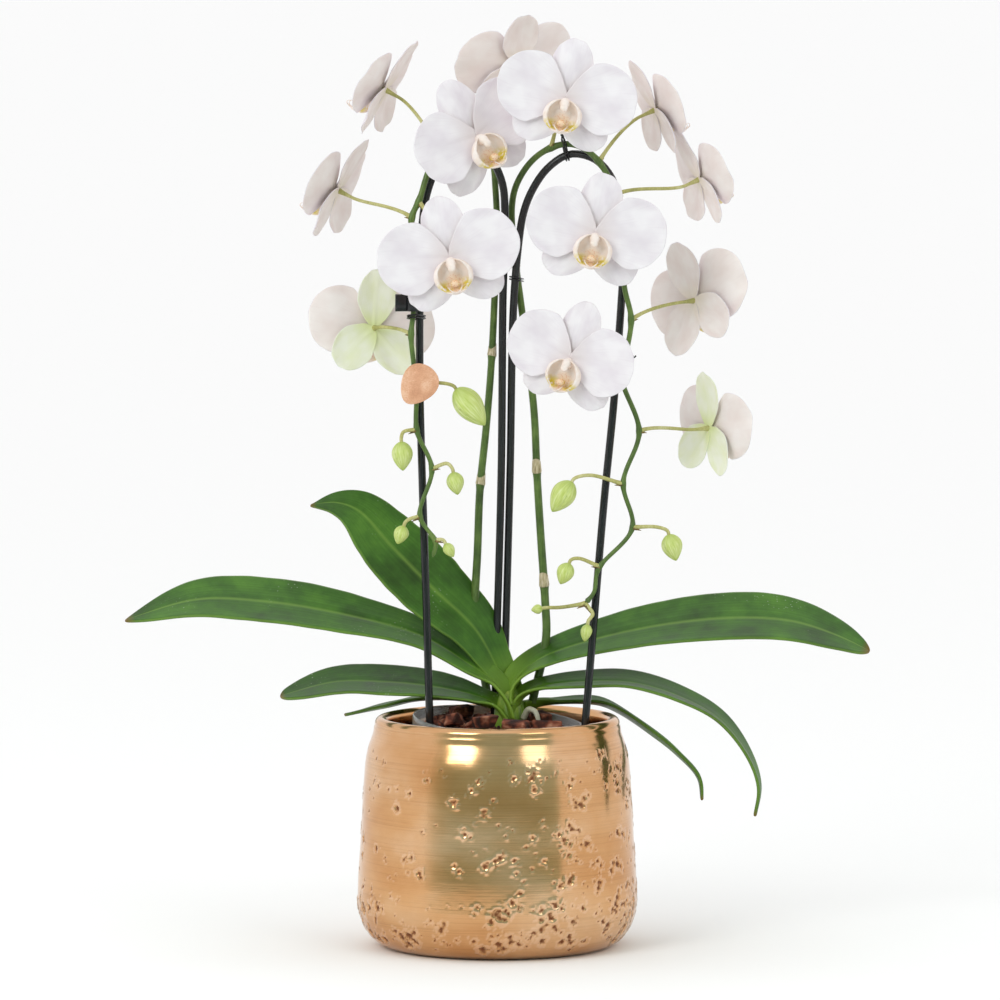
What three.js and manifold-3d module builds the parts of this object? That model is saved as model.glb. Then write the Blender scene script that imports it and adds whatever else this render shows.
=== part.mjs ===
// A white moth orchid in a gold glazed pot: two flower spikes trained over black wire arches.
// Millimetres, +Z up. Origin: centre of the flat underside of the decorative pot.
// +X is the viewer's right when the plant is seen from its front, -Y.
import * as THREE from "three";
import { mergeVertices } from "three/addons/utils/BufferGeometryUtils.js";
import Module from "manifold-3d";

const wasm = await Module();
wasm.setup();

// ---- driving dimensions -------------------------------------------------------------------

const GAP = 0.4;                 // air left between pieces that touch
const POT_HEIGHT = 125;
const POT_FOOT_RADIUS = 57;
const POT_BELLY_RADIUS = 76;
const POT_LIP_RADIUS = 66.5;
const POT_MOUTH_RADIUS = 58;
const POT_FLOOR = 8;
const GROW_POT_HEIGHT = 111.5;
const GROW_POT_BASE_RADIUS = 33;
const GROW_POT_RIM_RADIUS = 47;
const GROW_POT_WALL = 1.2;
const GROW_POT_LEAN = 4.5;       // degrees, right side down
const GROW_POT_NOD = 3.5;        // degrees, front down
const DRAIN_HOLES = 5;
const DRAIN_RADIUS = 4;
const BARK_DEPTH = 106;
const WIRE_RADIUS = 2.1;
const WIRE_SIDES = 7;
const WIRE_STEPS = 60;
const STEM_SIDES = 6;
const STEM_STEPS = 46;
const PEDICEL_RADIUS = 1.1;
const PEDICEL_SIDES = 5;
const PEDICEL_STEPS = 4;
const FLOWER_STUB = 9;           // from the flower's centre back to where its stalk begins
const CROWN = new THREE.Vector3(6, 2, 113);
const CROWN_HEIGHT = 46;

// ---- materials ----------------------------------------------------------------------------

function finish(color, roughness, metalness = 0) {
  return new THREE.MeshStandardMaterial({ color, roughness, metalness });
}

const goldGlaze = finish("#c9a06a", 0.28, 0.9);
const clearPlastic = finish("#e4e6e2", 0.35);
const bark = finish("#4a2418", 0.9);
const blackPlastic = finish("#17181a", 0.3);
const leafGreen = finish("#4c7a2b", 0.42);
const crownGreen = finish("#a9bf4c", 0.45);
const stemGreen = finish("#6c8440", 0.5);
const rootGrey = finish("#b9b8a4", 0.8);
const petalWhite = finish("#f5f1f4", 0.6);
const budGreen = finish("#cfe07c", 0.5);
const tagPeach = finish("#e0a987", 0.75);

// ---- helpers ------------------------------------------------------------------------------

function vec(point) {
  return new THREE.Vector3(point[0], point[1], point[2]);
}

function curveThrough(points) {
  return new THREE.CatmullRomCurve3(points.map(vec), false, "centripetal");
}

function signedVolume(geometry) {
  const position = geometry.getAttribute("position");
  const corner = [0, 1, 2].map(() => new THREE.Vector3());
  const faces = geometry.index;
  let sum = 0;
  for (let i = 0; i < faces.count; i += 3) {
    corner.forEach((c, k) => c.fromBufferAttribute(position, faces.getX(i + k)));
    sum += corner[0].dot(corner[1].clone().cross(corner[2]));
  }
  return sum / 6;
}

function flipFaces(geometry) {
  const faces = geometry.index;
  for (let i = 0; i < faces.count; i += 3) {
    const second = faces.getX(i + 1);
    faces.setX(i + 1, faces.getX(i + 2));
    faces.setX(i + 2, second);
  }
}

// Only the positions are kept, shared corners are merged, and the faces point outwards.
function closed(geometry) {
  const bare = geometry.clone();
  bare.deleteAttribute("normal");
  bare.deleteAttribute("uv");
  const merged = mergeVertices(bare, 1e-4);
  if (signedVolume(merged) < 0) flipFaces(merged);
  return merged;
}

function toSolid(geometry) {
  const merged = closed(geometry);
  const vertProperties = new Float32Array(merged.getAttribute("position").array);
  const triVerts = new Uint32Array(merged.index.array);
  return new wasm.Manifold(new wasm.Mesh({ numProp: 3, vertProperties, triVerts }));
}

function toGeometry(solid) {
  const mesh = solid.getMesh();
  const geometry = new THREE.BufferGeometry();
  geometry.setAttribute("position", new THREE.BufferAttribute(mesh.vertProperties, 3));
  geometry.setIndex(new THREE.BufferAttribute(mesh.triVerts, 1));
  return geometry;
}

function join(geometries) {
  const solids = geometries.map(toSolid);
  const whole = solids.slice(1).reduce((sum, next) => sum.add(next), solids[0]);
  return toGeometry(whole);
}

// What is left of a piece after its neighbours' space is cut away; only the largest lump stays.
function cutAway(geometry, neighbours) {
  let rest = toSolid(geometry);
  neighbours.forEach((neighbour) => { rest = rest.subtract(toSolid(neighbour)); });
  const lumps = rest.decompose();
  lumps.sort((a, b) => b.volume() - a.volume());
  return toGeometry(lumps[0]);
}

// A rod of changing radius along a curve: a cylinder whose rings are moved onto the curve.
function taperedRod(curve, radiusAt, sides, steps) {
  const rod = new THREE.CylinderGeometry(1, 1, 1, sides, steps);
  const frames = curve.computeFrenetFrames(steps, false);
  const position = rod.getAttribute("position");
  for (let i = 0; i < position.count; i += 1) {
    const step = Math.round((position.getY(i) + 0.5) * steps);
    const radius = radiusAt(step / steps);
    const place = curve.getPointAt(step / steps);
    place.addScaledVector(frames.normals[step], position.getX(i) * radius);
    place.addScaledVector(frames.binormals[step], position.getZ(i) * radius);
    position.setXYZ(i, place.x, place.y, place.z);
  }
  return rod;
}

// A tube of one radius along a curve.
function tube(curve, radius, sides, steps) {
  const section = new THREE.Shape();
  for (let i = 0; i < sides; i += 1) {
    const turn = (2 * Math.PI * i) / sides;
    const move = i === 0 ? "moveTo" : "lineTo";
    section[move](radius * Math.cos(turn), radius * Math.sin(turn));
  }
  section.closePath();
  return new THREE.ExtrudeGeometry(section, { steps, bevelEnabled: false, extrudePath: curve });
}

// The point nearest to a given one on the middle line of a rod with straight steps.
function onRod(curve, steps, point) {
  const line = curve.getSpacedPoints(steps);
  const spots = line.slice(1).map((end, i) => {
    return new THREE.Line3(line[i], end).closestPointToPoint(point, true, new THREE.Vector3());
  });
  spots.sort((a, b) => a.distanceTo(point) - b.distanceTo(point));
  return spots[0];
}

// A ring of one closed profile, turned about +Z.
function turned(profile, segments) {
  const points = profile.map(([radius, height]) => new THREE.Vector2(radius, height));
  return new THREE.LatheGeometry(points, segments).rotateX(Math.PI / 2);
}

const plant = new THREE.Group();

function place(name, geometry, material, parent = plant) {
  const mesh = new THREE.Mesh(closed(geometry), material);
  mesh.name = name;
  parent.add(mesh);
  return mesh;
}

// ---- decorative pot -----------------------------------------------------------------------

function arcPoints(centre, radii, from, to, count) {
  return Array.from({ length: count + 1 }, (_, i) => {
    const turn = THREE.MathUtils.degToRad(from + ((to - from) * i) / count);
    return [centre[0] + radii[0] * Math.cos(turn), centre[1] + radii[1] * Math.sin(turn)];
  });
}

function decorativePot() {
  const cornerRadius = POT_BELLY_RADIUS - POT_FOOT_RADIUS;
  const cornerHeight = 26;
  const shoulder = 112;
  const lipRound = 3.5;
  const outside = [
    [0, 0],
    ...arcPoints([POT_FOOT_RADIUS, cornerHeight], [cornerRadius, cornerHeight], -90, 0, 6),
    [74.4, 54],
    [72.9, 84],
    [71, shoulder],
    ...arcPoints([POT_LIP_RADIUS - lipRound, POT_HEIGHT - lipRound], [lipRound, lipRound], 0, 180, 5),
  ];
  const inside = [
    [POT_MOUTH_RADIUS, shoulder],
    [66, 84],
    [67.5, 40],
    [58, POT_FLOOR + 6],
    [46, POT_FLOOR],
    [0, POT_FLOOR],
  ];
  return turned([...outside, ...inside], 34);
}

place("decorative_pot", decorativePot(), goldGlaze);

// ---- grow pot, bark filling and roots -----------------------------------------------------

const leaningPot = new THREE.Group();
const leanAngle = THREE.MathUtils.degToRad(GROW_POT_LEAN);
const nodAngle = THREE.MathUtils.degToRad(GROW_POT_NOD);
leaningPot.rotation.set(nodAngle, leanAngle, 0);
leaningPot.position.set(
  1 - GROW_POT_HEIGHT * Math.sin(leanAngle),
  GROW_POT_HEIGHT * Math.cos(leanAngle) * Math.sin(nodAngle),
  POT_FLOOR + GAP + GROW_POT_BASE_RADIUS * Math.sin(Math.hypot(leanAngle, nodAngle)),
);
plant.add(leaningPot);
leaningPot.updateMatrixWorld(true);
const toLeaningPot = leaningPot.matrixWorld.clone().invert();

const growPotNeck = GROW_POT_HEIGHT - 7;

function growPot() {
  const shell = turned([
    [0, 0],
    [GROW_POT_BASE_RADIUS - 1, 0],
    [GROW_POT_BASE_RADIUS, 1],
    [GROW_POT_RIM_RADIUS - 2, growPotNeck],
    [GROW_POT_RIM_RADIUS, growPotNeck + 1],
    [GROW_POT_RIM_RADIUS, GROW_POT_HEIGHT],
    [GROW_POT_RIM_RADIUS - GROW_POT_WALL, GROW_POT_HEIGHT],
    [GROW_POT_RIM_RADIUS - 2 - GROW_POT_WALL, growPotNeck],
    [GROW_POT_BASE_RADIUS - GROW_POT_WALL, GROW_POT_WALL],
    [0, GROW_POT_WALL],
  ], 32);
  const drains = Array.from({ length: DRAIN_HOLES }, (_, i) => {
    const turn = (2 * Math.PI * i) / DRAIN_HOLES;
    const ring = GROW_POT_BASE_RADIUS * 0.6;
    const drain = new THREE.CylinderGeometry(DRAIN_RADIUS, DRAIN_RADIUS, 8, 8).rotateX(Math.PI / 2);
    return drain.translate(ring * Math.cos(turn), ring * Math.sin(turn), 0);
  });
  return cutAway(shell, drains);
}

place("grow_pot", growPot(), clearPlastic, leaningPot);

// ---- wire arches --------------------------------------------------------------------------

const leftArch = curveThrough([
  [-4, 20, 45], [-1.6, 18.5, 123], [-0.2, 17, 168], [2.2, 12.5, 258], [3.1, 8.5, 351], [4.2, 5.5, 397],
  [2.8, 4, 414], [-3.5, 2, 427.5], [-14.7, -2.5, 436], [-28.1, -6.5, 429.7], [-37.3, -8.5, 410.9],
  [-41.1, -9, 384], [-41.8, -10, 346], [-41.6, -12.5, 298], [-40.1, -15, 243.5], [-38, -17.5, 178.5],
  [-36.4, -17.5, 123], [-33.4, -12, 50],
]);
const rightArch = curveThrough([
  [1.8, 22, 45], [3.4, 20.5, 123], [4.6, 19, 168], [7, 14, 258], [8.7, 8.5, 345], [11.2, 6, 378],
  [14.2, 4.5, 398], [19, 3, 410.5], [27.4, 1, 422.5], [39.3, -2, 430], [52.2, -5, 427.6],
  [61, -7.5, 418.5], [66.4, -9, 402], [68.6, -9.5, 378.6], [67.3, -10.5, 357], [63.1, -12.5, 298.7],
  [57.7, -15, 243.5], [51.3, -18.5, 167.6], [47.5, -20.5, 123], [37.5, -22, POT_FLOOR + GAP],
]);

function archWire(arch, grow = 0) {
  return tube(arch, WIRE_RADIUS + grow, WIRE_SIDES, WIRE_STEPS);
}

place("arch_wire_left", archWire(leftArch), blackPlastic);
place("arch_wire_right", archWire(rightArch), blackPlastic);

// ---- crown, roots and bark ----------------------------------------------------------------

function crownBody(grow = 0) {
  const body = turned([
    [0, -grow],
    [9 + grow, -grow],
    [10.5 + grow, 14],
    [9 + grow, 30],
    [5.5 + grow, CROWN_HEIGHT - 5],
    [0, CROWN_HEIGHT + grow],
  ], 12);
  return body.scale(0.9, 1.1, 1).translate(CROWN.x, CROWN.y, CROWN.z);
}

const ROOT_TIPS = [[-22, -12, 70], [20, -20, 78], [26, 14, 64], [-14, 24, 74], [4, -26, 60]];

function root(tip, grow = 0) {
  const start = CROWN.clone().add(new THREE.Vector3(0, 0, 6));
  const end = vec(tip);
  const bend = start.clone().lerp(end, 0.5);
  bend.z -= 2;
  bend.x += (end.x - start.x) * 0.2;
  bend.y += (end.y - start.y) * 0.2;
  return taperedRod(new THREE.QuadraticBezierCurve3(start, bend, end), () => 2.4 + grow, 6, 4);
}

place("plant_crown", join([crownBody(), ...ROOT_TIPS.map((tip) => root(tip))]), crownGreen);

// An aerial root arches out of the crown over the bark.
const aerialRoot = curveThrough([[17, -6, 127], [21, -9, 134], [26, -11, 131], [29, -12, 124]]);
place("aerial_root", taperedRod(aerialRoot, (t) => 2.4 - t, 8, 8), rootGrey);

function barkFilling() {
  const radiusAtTop = GROW_POT_RIM_RADIUS - 2 - GROW_POT_WALL - GAP;
  const filling = turned([
    [0, GROW_POT_WALL + GAP],
    [GROW_POT_BASE_RADIUS - GROW_POT_WALL - GAP, GROW_POT_WALL + GAP],
    [radiusAtTop - 0.6, BARK_DEPTH - 5],
    [radiusAtTop - 6, BARK_DEPTH - 1],
    [24, BARK_DEPTH + 1],
    [0, BARK_DEPTH + 2],
  ], 24);
  const cutters = [
    crownBody(GAP),
    ...ROOT_TIPS.map((tip) => root(tip, GAP)),
    archWire(leftArch, GAP),
    archWire(rightArch, GAP),
  ];
  return cutAway(filling, cutters.map((cutter) => cutter.applyMatrix4(toLeaningPot)));
}

place("bark_filling", barkFilling(), bark, leaningPot);

// Loose chips on top of the filling: size, then place, then turn about +Z in degrees.
const BARK_CHIPS = [
  [[13, 9, 7], [-7, -27, 124.6], 35],
  [[16, 7, 5], [10, -30, 123], -12],
  [[18, 6, 5], [27, -24, 123], 8],
  [[12, 8, 6], [-24, -18, 125], -40],
  [[14, 9, 6], [-20, 16, 126], 20],
  [[13, 8, 6], [24, 12, 122.5], -55],
];

function barkChip(size, seed) {
  const chip = new THREE.IcosahedronGeometry(0.62, 0);
  const position = chip.getAttribute("position");
  for (let i = 0; i < position.count; i += 1) {
    const x = position.getX(i);
    const y = position.getY(i);
    const z = position.getZ(i);
    const chipped = 1 + 0.12 * Math.sin(7 * x + 5 * y + 3 * z + seed);
    position.setXYZ(i, x * chipped, y * chipped, z * chipped);
  }
  return chip.scale(size[0], size[1], size[2]);
}

BARK_CHIPS.forEach(([size, at, turn], i) => {
  const chip = place(`bark_chip_${i + 1}`, barkChip(size, i), bark);
  chip.position.set(at[0], at[1], at[2]);
  chip.rotation.z = THREE.MathUtils.degToRad(turn);
});

// ---- flower spikes ------------------------------------------------------------------------

// Flowers: name, centre, the way it faces, lean to the viewer's right in degrees, size,
// and the point on the spike that its stalk grows from.
const LEFT_FLOWERS = [
  ["flower_left_1", [10.2, 30, 477.4], [-0.5, 0.78, 0.38], 8, 0.94, [-5, 6.5, 432]],
  ["flower_left_2", [-11.5, -22, 440.4], [0.42, -0.9, 0.1], -28, 1, [-12, 2.5, 440.4]],
  ["flower_left_3", [-61, 1, 465], [-0.82, 0.25, 0.46], 0, 0.94, [-30, -8.5, 431.5]],
  ["flower_left_4", [-86.5, 4, 410.5], [-0.85, 0.3, 0.42], 0, 0.96, [-45.9, -15, 396.5]],
  ["flower_left_5", [-25.3, -38, 375.7], [0, -1, 0], -12, 1, [-41.5, -14, 405]],
  ["flower_left_6", [-67, 10, 335.4], [-0.35, 0.9, -0.1], -6, 0.95, [-46.4, -16.5, 332.9]],
];
const RIGHT_FLOWERS = [
  ["flower_right_1", [36.6, -38, 460.6], [0, -1, 0.05], 11, 0.98, [29, 0, 433]],
  ["flower_right_2", [86, 6, 454], [0.86, 0.3, 0.38], 0, 0.9, [55, -13, 426]],
  ["flower_right_3", [110, 5, 416.5], [0.84, 0.34, 0.36], 0, 0.9, [63, -14.5, 408]],
  ["flower_right_4", [52.6, -42, 388.8], [0, -1, 0.03], 10, 0.98, [66.4, -15, 393]],
  ["flower_right_5", [107, 10, 350.3], [0.7, 0.68, 0.05], 20, 0.98, [72.1, -17, 341.6]],
  ["flower_right_6", [39.6, -40, 321.7], [-0.3, -0.94, 0.03], 16, 0.94, [67.3, -17.5, 309.2]],
  ["flower_right_7", [115.5, 5, 281.5], [0.84, 0.52, 0.05], -4, 0.92, [76.5, -18, 281.1]],
];

// Buds: name, base, tip, width, and the points of the stalk from the spike to the base.
const LEFT_BUDS = [
  ["bud_left_1", [-22.5, -19, 304.5], [-6.5, -19, 284.5], 15, [[-43.4, -17.6, 305], [-32, -19, 307.5]]],
  ["bud_left_2", [-51.6, -19, 276], [-50.8, -19, 260], 12, [[-43.3, -18, 281.7], [-50.5, -19, 281]]],
  ["bud_left_3", [-23.8, -19.5, 259.5], [-21.2, -19.5, 247], 10, [[-35.2, -19, 261], [-27, -19.5, 264]]],
  ["bud_left_4", [-50.2, -21, 230.5], [-53.8, -21, 220.5], 8.6, [[-41.7, -20, 235.7], [-47.5, -21, 234]]],
  ["bud_left_5", [-28, -21, 221], [-23.5, -21, 213.5], 6.6, [[-33.6, -20.3, 222.5], [-30, -21, 223]]],
];
const RIGHT_BUDS = [
  ["bud_right_1", [40.5, -21, 254.5], [29.5, -21, 238], 14, [[67.9, -19, 253.5], [50, -21, 257.8]]],
  ["bud_right_2", [92.3, -21, 226], [96.5, -21, 211.5], 12, [[72.8, -20, 229.1], [86, -21, 229.8]]],
  ["bud_right_3", [39, -23, 210.5], [34, -23, 199], 10, [[54.4, -22.5, 208], [44, -23, 213]]],
  ["bud_right_4", [24.5, -23, 186], [18.3, -23, 185], 5.5, [[47.5, -22.5, 188.5], [34, -23, 186.5]]],
  ["bud_right_5", [48.8, -24, 177.5], [47, -24, 168], 6.6, [[47.8, -22.5, 188.5], [51.5, -24, 183]]],
];

const LEFT_SPIKE = [
  [-4.6, 12.6, 131], [-8, 18, 150], [-12, 20, 170], [-12.1, 19.5, 187], [-10.8, 17, 212], [-9.4, 15, 247],
  [-6.1, 14, 280], [-3.4, 13, 312.8], [-1.7, 12, 345.4], [-0.2, 12, 388.8], [-0.9, 11, 410],
  [-3, 8, 427], [-12, 2.5, 441.5], [-23.5, -3.5, 441], [-32.6, -9.5, 431.5], [-38, -13, 418.5],
  [-41.8, -14.5, 406], [-45.9, -15, 396.5], [-45.6, -16, 378.8], [-45.1, -16, 346.4], [-46.4, -16.5, 332.9],
  [-44.9, -17, 316.8], [-43.4, -17.6, 303], [-43.3, -18, 281.7], [-35.2, -19, 261],
  [-41.7, -20, 235.7], [-33.2, -20.5, 221.5], [-34.7, -21, 213.5],
];
const RIGHT_SPIKE = [
  [19, 12, 131], [26.5, 12, 166], [26, 12, 187.5], [23.8, 12.5, 220], [21.6, 13, 255.5], [19.9, 13, 291],
  [14, 12.5, 339.8], [8.6, 12.5, 383], [8, 12.5, 402], [10.4, 10, 413], [17.7, 6, 425], [27, 1.5, 432.4],
  [38.7, -4.5, 435.6], [49, -10.8, 431.8], [58.4, -14, 420.7], [66.3, -15, 397.6], [68.3, -16, 360],
  [72.1, -17, 341.6], [68.9, -17, 320.5], [67.3, -17.5, 309.2], [76.5, -18, 281.1],
  [67.9, -19, 253.5], [72.8, -20, 229.1], [54.4, -22.5, 207], [52.3, -22.5, 195], [47.5, -22.5, 188.5],
];

// Joints on the lower stem, as heights above the pot's foot.
const LEFT_JOINTS = [250, 320];
const RIGHT_JOINTS = [196, 257, 368];

function pedicelTube(curve) {
  return taperedRod(curve, (t) => PEDICEL_RADIUS + 0.25 * (1 - t), PEDICEL_SIDES, PEDICEL_STEPS);
}

function flowerPedicel([, centre, facing, , , from], stem) {
  const forward = vec(facing).normalize();
  const end = vec(centre).addScaledVector(forward, -FLOWER_STUB - GAP);
  const start = onRod(stem, STEM_STEPS, vec(from));
  const reach = start.distanceTo(end) / 3;
  const lift = start.clone().lerp(end, 0.3);
  lift.z += reach * 0.3;
  const approach = end.clone().addScaledVector(forward, -reach * 0.7);
  return pedicelTube(new THREE.CubicBezierCurve3(start, lift, approach, end));
}

function budPedicel([, base, tip, , [from, bend]], stem) {
  const along = vec(tip).sub(vec(base)).normalize();
  const end = vec(base).addScaledVector(along, -GAP);
  const approach = end.clone().addScaledVector(along, -2);
  const start = onRod(stem, STEM_STEPS, vec(from));
  return pedicelTube(new THREE.CatmullRomCurve3([start, vec(bend), approach, end], false, "centripetal"));
}

function stemJoint(curve, height) {
  let at = 0;
  while (curve.getPointAt(at).z < height) at += 0.002;
  const middle = curve.getPointAt(at);
  const along = curve.getTangentAt(at);
  const sleeve = new THREE.CylinderGeometry(2.7, 2.9, 6, STEM_SIDES);
  const turn = new THREE.Quaternion().setFromUnitVectors(new THREE.Vector3(0, 1, 0), along);
  return sleeve.applyQuaternion(turn).translate(middle.x, middle.y, middle.z);
}

function spike(points, joints, flowers, buds) {
  const curve = curveThrough(points);
  const stem = taperedRod(curve, (t) => 2.35 - 1.25 * t, STEM_SIDES, STEM_STEPS);
  return join([
    stem,
    ...joints.map((height) => stemJoint(curve, height)),
    ...flowers.map((flower) => flowerPedicel(flower, curve)),
    ...buds.map((bud) => budPedicel(bud, curve)),
  ]);
}

const leftSpike = spike(LEFT_SPIKE, LEFT_JOINTS, LEFT_FLOWERS, LEFT_BUDS);
const rightSpike = spike(RIGHT_SPIKE, RIGHT_JOINTS, RIGHT_FLOWERS, RIGHT_BUDS);
place("spike_left", leftSpike, stemGreen);
place("spike_right", rightSpike, stemGreen);

// ---- flowers ------------------------------------------------------------------------------

// One sepal or petal: a thin nine-sided plate whose rim is cupped forward. It starts at the
// flower's centre and points up; turn swings it about the facing axis, +Y.
function tepal(length, width, turn, forward, cup, lean) {
  const thickness = 1.1;
  const plate = new THREE.CylinderGeometry(0.5, 0.5, thickness, 9, 1);
  const position = plate.getAttribute("position");
  for (let i = 0; i < position.count; i += 1) {
    const x = position.getX(i);
    const z = position.getZ(i);
    const rim = Math.min(1, 2 * Math.hypot(x, z));
    position.setXYZ(i, x * width, position.getY(i) + cup * rim, z * length);
  }
  plate.translate(0, forward, length * 0.47);
  plate.rotateX(THREE.MathUtils.degToRad(lean));
  return plate.rotateY(THREE.MathUtils.degToRad(turn));
}

function flowerBody() {
  const lip = new THREE.SphereGeometry(1, 6, 4).scale(10.2, 8.4, 9).translate(0, 7, -8.4);
  const stub = new THREE.CylinderGeometry(1.7, 1.4, FLOWER_STUB + 5, 6);
  stub.translate(0, (FLOWER_STUB + 5) / 2 - FLOWER_STUB, 0);
  return join([
    tepal(35, 24, 0, 0.2, -1.2, 4),
    tepal(34, 21, 134, 0, -1, 3),
    tepal(34.5, 21, -134, -0.3, -1, 3),
    tepal(40.5, 38, 80, 2.4, -1.6, -2),
    tepal(40.5, 38.5, -80, 2.7, -1.6, -2),
    lip,
    stub,
  ]);
}

const flowerShape = flowerBody();

// Local +Y turns to the facing way and local +Z to the flower's own top.
function flowerTurn(facing, lean) {
  const forward = vec(facing).normalize();
  const up = new THREE.Vector3(0, 0, 1).addScaledVector(forward, -forward.z).normalize();
  up.applyAxisAngle(forward, THREE.MathUtils.degToRad(-lean));
  const across = new THREE.Vector3().crossVectors(forward, up);
  const basis = new THREE.Matrix4().makeBasis(across, forward, up);
  return new THREE.Quaternion().setFromRotationMatrix(basis);
}

// The stub keeps its length whatever the flower's size, so it always meets its stalk.
function placeFlower([name, centre, facing, lean, size]) {
  const flower = place(name, flowerShape, petalWhite);
  const forward = vec(facing).normalize();
  flower.scale.setScalar(size);
  flower.quaternion.copy(flowerTurn(facing, lean));
  flower.position.copy(vec(centre)).addScaledVector(forward, -FLOWER_STUB * (1 - size));
}

[...LEFT_FLOWERS, ...RIGHT_FLOWERS].forEach(placeFlower);

// ---- buds ---------------------------------------------------------------------------------

function budBody() {
  const profile = [[0, 0], [0.28, 0.04], [0.48, 0.28], [0.48, 0.52], [0.32, 0.82], [0, 1]];
  return turned(profile, 7);
}

const budShape = budBody();

function placeBud([name, base, tip, width]) {
  const bud = place(name, budShape, budGreen);
  const along = vec(tip).sub(vec(base));
  bud.scale.set(width, width, along.length());
  bud.quaternion.setFromUnitVectors(new THREE.Vector3(0, 0, 1), along.clone().normalize());
  bud.position.copy(vec(base));
}

[...LEFT_BUDS, ...RIGHT_BUDS].forEach(placeBud);

// ---- leaves -------------------------------------------------------------------------------

// Leaves: name, midrib points from crown to tip, greatest width, where along it that is,
// tilt of the near edge downwards at the base and at the tip in degrees, the fold's depth,
// and how the tip closes: 0.5 is round, 1 is pointed.
const LEAVES = [
  ["leaf_left_1", [[0, 5, 150], [-12, 8, 171], [-35, 13, 193], [-58, 18, 216], [-76, 21, 235],
    [-88, 23, 239], [-102, 25, 237.5]], 46, 0.55, 48, 40, 3, 1],
  ["leaf_left_2", [[-2, 2, 144], [-14, 2, 152], [-41, 4, 168], [-85, 4, 180], [-128, 2, 187],
    [-163, 0, 188], [-202, -2, 177]], 46, 0.68, 26, 26, 3, 0.9],
  ["leaf_left_3", [[-2, -1, 132], [-14, 1, 136.5], [-36, 4, 140.5], [-60, 6, 142.5], [-88, 6, 142.5],
    [-118, 4, 135]], 38, 0.6, 21, 19, 3, 0.55],
  ["leaf_left_4", [[-3, 12, 129], [-20, 26, 131.5], [-44, 38, 130], [-60, 41, 126], [-84, 43, 121]],
    24, 0.55, 2, 0, 2, 0.6],
  ["leaf_right_1", [[12, 4, 147], [24, 5, 156], [50, 7, 165], [90, 6, 173.8], [129, 4, 177.7],
    [160, 2, 176], [184, 0, 168.5], [202, -1, 160]], 50, 0.64, 25, 25, 3, 0.6],
  ["leaf_right_2", [[14, 0, 136], [25, 1, 141], [51, 3, 143.3], [74, 2, 142.5], [98, -4, 136],
    [120, -9, 124], [136, -13, 104], [141.5, -15, 88], [139.6, -16, 72]], 34, 0.42, 17, -2, 3, 0.8],
  ["leaf_right_3", [[14, 11, 127], [26, 18, 130], [48, 27, 129.8], [58, 30, 128], [69, 32, 122.5],
    [84, 33, 112], [98, 32, 101], [110, 28, 88], [112, 24, 76]], 22, 0.5, 0, 4, 3, 0.6],
];

const LEAF_STEPS = 12;

// Half the leaf's width at a fraction of its length: a narrow clasping base, a full blade
// and a rounded tip.
function leafHalfWidth(t, width, widest, close) {
  const base = 0.3 + 0.7 * Math.sin((Math.PI / 2) * Math.min(1, t / widest));
  const past = Math.max(0, (t - widest) / (1 - widest));
  const tip = Math.max(0, 1 - past ** 2.2) ** close;
  return (width / 2) * Math.max(0.05, base * tip);
}

function leafBody([, rib, width, widest, tiltBase, tiltTip, fold, close], grow = 0) {
  const curve = curveThrough(rib);
  const heading = curve.getPointAt(1).sub(curve.getPointAt(0)).setZ(0).normalize();
  const toLeft = heading.x < 0;
  const level = new THREE.Vector3(heading.y, -heading.x, 0).multiplyScalar(toLeft ? -1 : 1);
  const blade = new THREE.CylinderGeometry(1, 1, 1, 8, LEAF_STEPS);
  const position = blade.getAttribute("position");
  for (let i = 0; i < position.count; i += 1) {
    const t = Math.min(1, Math.max(0, position.getY(i) + 0.5));
    const along = curve.getTangentAt(t);
    const near = level.clone().addScaledVector(along, -level.dot(along)).normalize();
    const upward = new THREE.Vector3().crossVectors(along, near).multiplyScalar(toLeft ? 1 : -1);
    const tilt = THREE.MathUtils.degToRad(tiltBase + (tiltTip - tiltBase) * t);
    const across = near.clone().multiplyScalar(Math.cos(tilt)).addScaledVector(upward, -Math.sin(tilt));
    const normal = upward.clone().multiplyScalar(Math.cos(tilt)).addScaledVector(near, Math.sin(tilt));
    const side = position.getX(i);
    const half = leafHalfWidth(t, width, widest, close) + grow;
    const foldNow = fold * (1 - 0.5 * t);
    const thick = (1.5 - 0.6 * t + grow) * position.getZ(i);
    const spot = curve.getPointAt(t);
    spot.addScaledVector(across, side * half);
    spot.addScaledVector(normal, foldNow * Math.abs(side) ** 1.6 * (half / (width / 2)) + thick);
    position.setXYZ(i, spot.x, spot.y, spot.z);
  }
  return blade;
}

// Each leaf gives way to the crown, to the stems and wires, and to the leaves before it.
const blockers = [crownBody(GAP)];
blockers.push(archWire(leftArch, GAP), archWire(rightArch, GAP));
[LEFT_SPIKE, RIGHT_SPIKE].forEach((points) => {
  blockers.push(taperedRod(curveThrough(points.slice(0, 5)), () => 2.4 + GAP, STEM_SIDES, 8));
});
LEAVES.forEach((leaf) => {
  place(leaf[0], cutAway(leafBody(leaf), blockers), leafGreen);
  blockers.push(leafBody(leaf, GAP));
});

// ---- ties, clip and tag -------------------------------------------------------------------

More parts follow.
